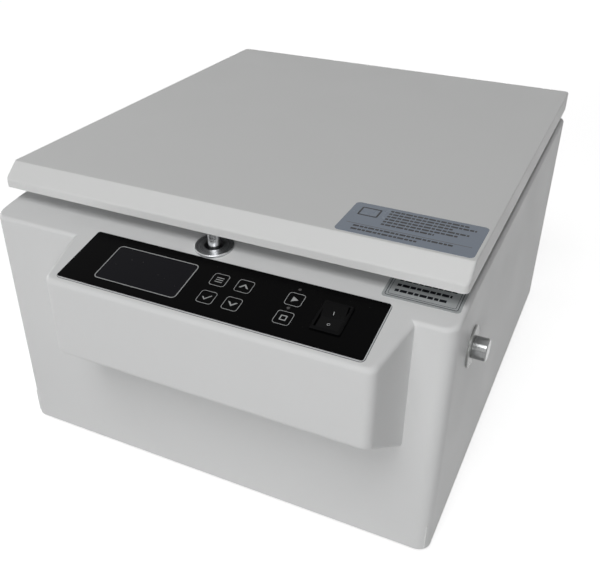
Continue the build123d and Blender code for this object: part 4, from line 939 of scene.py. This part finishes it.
@dataclass
class ControlPanel(SubAssembly):
    """The membrane panel: film, display, keys and power rocker."""

    solids: ClassVar[Dressing] = {
        FILM: ("control_film", "key_set", "key_confirm", "key_up", "key_down", "key_start", "key_stop"),
        DISPLAY: ("display_window",),
        SWITCH_BLACK: ("switch_frame",),
        ROCKER_GLOSS: ("switch_rocker",),
        BLACK_PLASTIC: ("display_module",),
        SOLDER_MASK: ("control_board",),
        BRASS: ("board_standoffs", "switch_terminals"),
    }

    plane: PanelPlane = PanelPlane()
    film_size: Point = (266.0, 60.0)
    film_centre: Point = (28.5, -19.0)
    film_radius: float = 3.0
    edge_line: float = 0.65
    edge_height: float = 1.0
    # Width and height of the dark band of painted shadow outside the pale edge.
    shadow_line: float = 0.4
    shadow_height: float = 0.3
    window_outline: Point = (77.2, 41.2)
    window_centre: Point = (-36.0, -19.5)
    window_radius: float = 4.0
    window_line: float = 0.75
    outline_size: float = 13.8
    outline_radius: float = 2.6
    key_line: float = 0.45
    ink: float = 0.05
    keys: tuple[tuple[str, Point, Symbol], ...] = (
        ("set", (25.8, -9.0), Symbol.LINES),
        ("confirm", (25.8, -29.7), Symbol.TICK),
        ("up", (48.0, -9.0), Symbol.UP),
        ("down", (48.0, -29.7), Symbol.DOWN),
        ("start", (91.3, -9.0), Symbol.START),
        ("stop", (91.3, -29.7), Symbol.STOP),
    )
    lamps: tuple[Point, ...] = ((90.4, 2.5), (90.5, -18.9))
    lamp_dome: tuple[Point, ...] = ((1.4, -0.1), (1.4, 0.05), (1.2, 0.16), (0.8, 0.26), (0.4, 0.31))
    lamp_sides: int = 24
    on_mark: tuple[Point, Point] = ((125.2, -15.6), (125.8, -13.2))
    off_mark: Point = (125.5, -24.6)
    off_radii: Point = (1.25, 0.8)
    off_sides: int = 28
    rocker_ink: float = 0.04
    mark_step: float = 0.5

    def build_edge(self) -> None:
        """Builds the film's pale cut edge and, between it and the housing, a dark band of painted shadow."""
        place = self.plane.raised(0.0)
        reach = self.edge_line + self.shadow_line
        edge, shadow_band = self.band(self.edge_line, self.edge_line), self.band(reach, self.shadow_line)
        thin_piece("film_edge", [edge], place, self.edge_height, FILM_EDGE, "root")
        thin_piece("film_edge_shadow", [shadow_band], place, self.shadow_height, FILM_SHADOW, "root")

    def band(self, reach: float, line: float) -> Shape:
        """Returns a band round the film, from its reach inwards."""
        width, length = (side + 2 * reach for side in self.film_size)
        return frame_shape(width, length, self.film_radius + reach, line, self.film_centre)

    def build_display(self) -> None:
        """Builds the display's drawn outline."""
        top = self.plane.raised(self.plane.top_of("control_film"))
        shape = frame_shape(*self.window_outline, self.window_radius, self.window_line, self.window_centre)
        thin_piece("display_outline", [shape], top, self.ink, FILM_PRINT, "root")

    def build_keys(self) -> None:
        """Builds each key's mark, and the outline printed round it on the film."""
        film_top = self.plane.raised(self.plane.top_of("control_film"))
        side = self.outline_size
        for name, centre, symbol in self.keys:
            outline = frame_shape(side, side, self.outline_radius, self.key_line, centre)
            thin_piece(f"key_outline_{name}", [outline], film_top, self.ink, FILM_PRINT, "root")
            key_top = self.plane.raised(self.plane.top_of(f"key_{name}"))
            mark, body = symbol.shapes(centre), f"{name}_button"
            thin_piece(f"key_mark_{name}", mark, key_top, self.ink, FILM_PRINT, body)

    def build_lamps(self) -> None:
        """Builds the two small lamps beside the start and stop keys."""
        top = self.plane.raised(self.plane.top_of("control_film"))
        for index, centre in enumerate(self.lamps, 1):
            turned_piece(f"lamp_{index}", self.lamp_dome, top, centre, LED_LENS, "root", self.lamp_sides)

    def build_rocker_marks(self) -> None:
        """Builds the I and O on the rocker."""
        drape = Drape("switch_rocker", self.plane.origin, self.plane.across, self.plane.up_slope).placer()
        stroke = Shape(bar_loop(*self.on_mark))
        outer, inner = (round_loop(radius, self.off_mark, self.off_sides) for radius in self.off_radii)
        ring = Shape(outer, (inner,))
        thin_piece("rocker_mark_on", [stroke], drape, self.rocker_ink, FILM_PRINT, "rocker", self.mark_step)
        thin_piece("rocker_mark_off", [ring], drape, self.rocker_ink, FILM_PRINT, "rocker")

    def build(self) -> None:
        """Builds the panel's own pieces."""
        self.build_edge()
        self.build_display()
        self.build_keys()
        self.build_lamps()
        self.build_rocker_marks()


@dataclass(frozen=True)
class PrintedRows:
    """Rows of printed blocks, one under another.

    Args:
        start: The top row's lower left corner, in millimetres.
        length: The length of a full row.
        shares: How much of it each row takes.
        pitch: The step from row to row.
        blocks: The blocks' lengths, used over and over.
        height: The height of a row.
        gap: The space between two blocks.
        shortest: The least room for one more block.
    """

    start: Point
    length: float
    shares: tuple[float, ...]
    pitch: float
    blocks: tuple[float, ...]
    height: float = 2.6
    gap: float = 0.8
    shortest: float = 1.0

    def row(self, bottom: float, length: float) -> list[Shape]:
        """Returns one row's blocks.

        Args:
            bottom: The row's lower side.
            length: How long the row is.

        Returns:
            One shape for each block.
        """
        made: list[Shape] = []
        left, end = self.start[0], self.start[0] + length
        for block in cycle(self.blocks):
            if left >= end - self.shortest:
                return made
            right = min(left + block, end)
            made.append(Shape(bar_loop((left, bottom), (right, bottom + self.height))))
            left = right + self.gap
        return made

    def shapes(self) -> list[Shape]:
        """Draws all the rows.

        Returns:
            One shape for each block.
        """
        made: list[Shape] = []
        for index, share in enumerate(self.shares):
            made += self.row(self.start[1] - index * self.pitch, self.length * share)
        return made


@dataclass
class Casing(SubAssembly):
    """The moulded housing with its deck label, base and feet."""

    solids: ClassVar[Dressing] = {
        HOUSING_PAINT: ("housing",),
        LABEL_SILVER: ("deck_label",),
        BASE_COAT: ("base_pan",),
        RUBBER: ("rubber_feet",),
        ZINC_PLATE: ("base_screws",),
    }

    label_size: Point = (61.0, 88.0)
    label_centre: Point = (173.0, -157.5)
    deck_height: float = 0.24
    borders: tuple[tuple[float, float, float], ...] = ((2.0, 2.0, 0.6), (4.0, 1.5, 0.4))
    rows: PrintedRows = PrintedRows(
        (150.5, -125.5),
        45.0,
        (0.85, 1.0, 0.7, 0.95, 0.9, 0.6, 1.0, 0.8, 1.0, 0.95, 0.9),
        6.8,
        (3.2, 5.4, 4.1),
        height=3.0,
        gap=0.9,
    )
    ink: float = 0.03
    step: float = 2.0

    def build(self) -> None:
        """Builds the deck label's borders and ruled bars."""
        origin = Vector((0, 0, self.deck_height))
        drape = Drape("deck_label", origin, Vector((1, 0, 0)), Vector((0, 1, 0))).placer()
        width, length = self.label_size
        borders = [
            frame_shape(width - 2 * inset, length - 2 * inset, radius, line, self.label_centre)
            for inset, radius, line in self.borders
        ]
        thin_piece("deck_label_borders", borders, drape, self.ink, LABEL_LINE, "root", self.step)
        thin_piece("deck_label_rules", self.rows.shapes(), drape, self.ink, LABEL_INK, "root", self.step)


@dataclass
class Lid(SubAssembly):
    """The hinged lid with its liner, label, hinges and latch pin."""

    solids: ClassVar[Dressing] = {
        LID_PAINT: ("lid_shell",),
        LINER_METAL: ("lid_liner",),
        LABEL_BLUE: ("lid_label",),
        ZINC_PLATE: ("lid_screws", "hinge_screws"),
        BRUSHED_STEEL: ("hinge_deck_leaves", "hinge_lid_leaves"),
        GROUND_STEEL: ("hinge_pins",),
    }

    label_top: float = 280.25
    divider: tuple[Point, Point] = ((99.0, -166.4), (199.0, -165.7))
    frame_size: Point = (17.0, 15.0)
    frame_centre: Point = (110.0, -143.0)
    frame_line: float = 1.5
    rows: tuple[PrintedRows, ...] = (
        PrintedRows((125.0, -135.5), 71.0, (0.9, 1.0, 0.75, 0.95, 0.85, 0.6), 4.9, (2.6, 4.4, 3.2, 5.6)),
        PrintedRows((106.0, -171.0), 88.0, (0.9, 0.6), 5.4, (4.8, 3.0, 2.4)),
    )
    ink: float = 0.03

    def on_label(self, x: float, y: float, height: float) -> Vector:
        """Returns a point in metres from x, y and the height over the label in millimetres."""
        return Vector((x, y, self.label_top + height)) * MM

    def build(self) -> None:
        """Builds the lid label's dividing line, empty frame and ruled bars."""
        bars = [frame_shape(*self.frame_size, self.frame_line, self.frame_line, self.frame_centre)]
        for rows in self.rows:
            bars += rows.shapes()
        divider = [Shape(bar_loop(*self.divider))]
        thin_piece("lid_label_divider", divider, self.on_label, self.ink, LABEL_LINE, "lid")
        thin_piece("lid_label_rules", bars, self.on_label, self.ink, LABEL_INK, "lid")


@dataclass
class Latch(SubAssembly):
    """The latch pin, its escutcheon, the slide below and the release knob."""

    solids: ClassVar[Dressing] = {
        WASHER_CHROME: ("deck_escutcheon",),
        PIN_STEEL: ("latch_pin",),
        DIE_CAST: ("lock_body",),
        BLACK_PLASTIC: ("microswitch",),
        BRUSHED_STEEL: ("latch_slide",),
        GROUND_STEEL: ("release_rod", "latch_spring"),
        KNOB_CHROME: ("release_knob",),
        KNOB_PLATE: ("knob_escutcheon",),
    }

    spring_ends: Point = (164.0, 199.0)
    spring_radius: float = 6.0
    spring_wire: float = 0.7
    spring_turns: int = 7
    steps_per_turn: int = 28
    wire_sides: int = 8

    def spring_row(self, built: BMesh, step: int) -> list[BMVert]:
        """Adds the ring of points round the spring's wire at one step along it.

        Args:
            built: The spring's mesh.
            step: Steps from the end at the collar.

        Returns:
            The ring's points, in order.
        """
        low, high = self.spring_ends[0] + self.spring_wire, self.spring_ends[1] - self.spring_wire
        along = low + (high - low) * step / (self.spring_turns * self.steps_per_turn)
        turn = 2 * math.pi * step / self.steps_per_turn
        ring = []
        for side in range(self.wire_sides):
            tilt = 2 * math.pi * side / self.wire_sides
            reach = self.spring_radius + self.spring_wire * math.cos(tilt)
            x = along + self.spring_wire * math.sin(tilt)
            y = KNOB_CENTRE[1] + reach * math.cos(turn)
            z = KNOB_CENTRE[2] + reach * math.sin(turn)
            ring.append(built.verts.new(Vector((x, y, z)) * MM))
        return ring

    def build(self) -> None:
        """Builds the return spring between the rod's collar and the bushing, in place of the solid spring,
        which it hides.
        """
        built = bmesh.new()
        rows = [self.spring_row(built, step) for step in range(self.spring_turns * self.steps_per_turn + 1)]
        close_skin(built, rows)
        spring = finish_piece("return_spring", built, GROUND_STEEL)
        spring.data.shade_smooth()
        collar, bushing = (Vector((end, KNOB_CENTRE[1], KNOB_CENTRE[2])) * MM for end in self.spring_ends)
        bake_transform(spring)
        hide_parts("latch_spring")
        log.info("built return_spring between release and root")


@dataclass
class Chamber(SubAssembly):
    """The bowl with its seal and guard, and the swing-out rotor."""

    solids: ClassVar[Dressing] = {
        SPUN_STEEL: ("chamber_bowl",),
        SEAL_RUBBER: ("chamber_seal",),
        PRIMER: ("guard_ring",),
        ROTOR_METAL: ("rotor_yoke",),
        WASHER_CHROME: ("rotor_nut",),
        GROUND_STEEL: ("trunnion_pins", "motor_shaft"),
        CARRIER_METAL: ("plate_carrier_front", "plate_carrier_rear"),
    }


@dataclass
class Drive(SubAssembly):
    """The motor on its dampers, the boards, the fan and the mains inlet."""

    solids: ClassVar[Dressing] = {
        CASTING: ("motor_body",),
        BASE_COAT: ("motor_plate",),
        RUBBER: ("vibration_dampers", "shaft_boot"),
        ZINC_PLATE: ("damper_bolts",),
        SOLDER_MASK: ("power_board", "drive_board"),
        HEATSINK: ("drive_heatsink",),
        SLEEVE: ("smoothing_capacitors",),
        BLACK_PLASTIC: ("fan_frame", "fan_rotor", "mains_inlet", "fuse_drawer"),
        WASHER_CHROME: ("fan_guard",),
        BRASS: ("inlet_contacts",),
    }


# Studio

WHITE = (1.0, 1.0, 1.0, 1.0)


@dataclass(frozen=True)
class Softbox:
    """A soft lamp that faces a point.

    Args:
        name: The lamp's name.
        place: Where it stands, in metres.
        size: Its width and height in metres.
        power: Its power in watts.
    """

    name: str
    place: Spot
    size: Point
    power: float

    def build(self, target: Vector) -> None:
        """Builds the lamp.

        Args:
            target: The point that it faces.
        """
        lamp = bpy.data.lights.new(self.name, "AREA")
        lamp.shape = "RECTANGLE"
        lamp.size, lamp.size_y = self.size
        lamp.energy = self.power
        holder = add_object(self.name, lamp)
        holder.location = self.place
        holder.rotation_euler = (target - holder.location).to_track_quat("-Z", "Y").to_euler()


@dataclass
class Studio:
    """The floor, the lamps, the world and the camera."""

    target: Spot = (0.0, 0.0, 0.15)
    softboxes: tuple[Softbox, ...] = (
        Softbox("front_high", (0.0, -1.6, 2.4), (1.4, 1.2), 30),
        Softbox("front_middle", (-0.2, -2.6, 1.3), (2.4, 1.4), 7),
        Softbox("front_right", (1.1, -2.5, 0.8), (1.2, 0.9), 13),
        Softbox("back_low", (-0.6, 2.4, 0.16), (1.8, 0.3), 24),
        Softbox("left_low", (-2.4, 0.2, 0.16), (1.8, 0.3), 14),
    )
    ambient: float = 0.07
    floor_glow: float = 0.76
    floor_reach: float = 6.0
    floor_cells: int = 8
    floor_tone: float = 0.68
    floor_roughness: float = 0.9
    eye: Spot = (0.28937, -0.67076, 0.54884)
    yaw: float = 0.427
    pitch: float = -0.5524
    roll: float = 0.0135
    lens: float = 45.82
    sensor: float = 36.0
    near: float = 0.01

    @staticmethod
    def shown_share(tree: NodeTree) -> NodeSocket:
        """Adds a mask that is 1 for what the eye sees direct, in gloss or through glass.

        Args:
            tree: A material's or the world's node tree.

        Returns:
            The mask.
        """
        rays = tree.nodes.new("ShaderNodeLightPath").outputs
        mask = rays["Is Camera Ray"]
        for label in ("Is Glossy Ray", "Is Transmission Ray"):
            either = add_node(tree, "ShaderNodeMath", {0: mask, 1: rays[label]}, operation="MAXIMUM")
            mask = either.outputs[0]
        return mask

    def build_world(self) -> None:
        """Builds the white background and the soft light all round."""
        world = bpy.data.worlds.new("studio_world")
        world.use_nodes = True
        bpy.context.scene.world = world
        tree = world.node_tree
        span = {"Value": self.shown_share(tree), "To Min": self.ambient, "To Max": 1}
        strength = add_node(tree, "ShaderNodeMapRange", span).outputs["Result"]
        set_inputs(tree.nodes["Background"], {"Color": WHITE, "Strength": strength})

    def build_floor(self) -> None:
        """Builds the pale floor, which keeps the shadow."""
        built = bmesh.new()
        cells = self.floor_cells
        bmesh.ops.create_grid(built, x_segments=cells, y_segments=cells, size=self.floor_reach)
        mesh = bpy.data.meshes.new("studio_floor")
        built.to_mesh(mesh)
        built.free()
        floor = add_object("studio_floor", mesh)
        paper = bpy.data.materials.new("floor_paper")
        paper.use_nodes = True
        tree = paper.node_tree
        shown = {0: self.shown_share(tree), 1: self.floor_glow}
        glow = add_node(tree, "ShaderNodeMath", shown, operation="MULTIPLY").outputs[0]
        tone = self.floor_tone
        sources = {"Base Color": (tone, tone, tone, 1), "Emission Color": WHITE, "Emission Strength": glow}
        sources |= {"Roughness": self.floor_roughness, "Specular IOR Level": 0}
        set_inputs(tree.nodes["Principled BSDF"], sources)
        mesh.materials.append(paper)
        floor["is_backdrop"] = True

    def build_camera(self) -> None:
        """Builds the camera at its measured place."""
        sine, cosine, flat = math.sin(self.yaw), math.cos(self.yaw), math.cos(self.pitch)
        forward = Vector((-sine * flat, cosine * flat, math.sin(self.pitch)))
        level = Vector((cosine, sine, 0))
        upright = level.cross(forward)
        right = math.cos(self.roll) * level + math.sin(self.roll) * upright
        up = -math.sin(self.roll) * level + math.cos(self.roll) * upright
        camera = bpy.data.cameras.new("camera")
        camera.sensor_width = self.sensor
        camera.lens = self.lens
        camera.clip_start = self.near
        holder = add_object("camera", camera)
        turn = Matrix((right, up, -forward)).transposed().to_4x4()
        holder.matrix_world = Matrix.Translation(Vector(self.eye)) @ turn
        bpy.context.scene.camera = holder

    def build(self) -> None:
        """Builds the whole studio."""
        bpy.context.scene.view_settings.view_transform = "Standard"
        self.build_world()
        self.build_floor()
        for softbox in self.softboxes:
            softbox.build(Vector(self.target))
        self.build_camera()


def corners(bounds: Sequence[Sequence[float]]) -> list[list[float]]:
    """Returns bounds as plain lists of numbers."""
    return [[float(part) for part in corner] for corner in bounds]


def main() -> None:
    """Builds and dresses every sub-assembly, then the studio."""
    solid_box = corners(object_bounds())
    for assembly in (Casing(), ControlPanel(), Lid(), Latch(), Chamber(), Drive()):
        assembly.dress()
        assembly.build()
        log.info("finished %s", type(assembly).__name__)
    Studio().build()
    {"solids": solid_box, "looks": corners(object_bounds())}


if __name__ == "__main__":
    main()
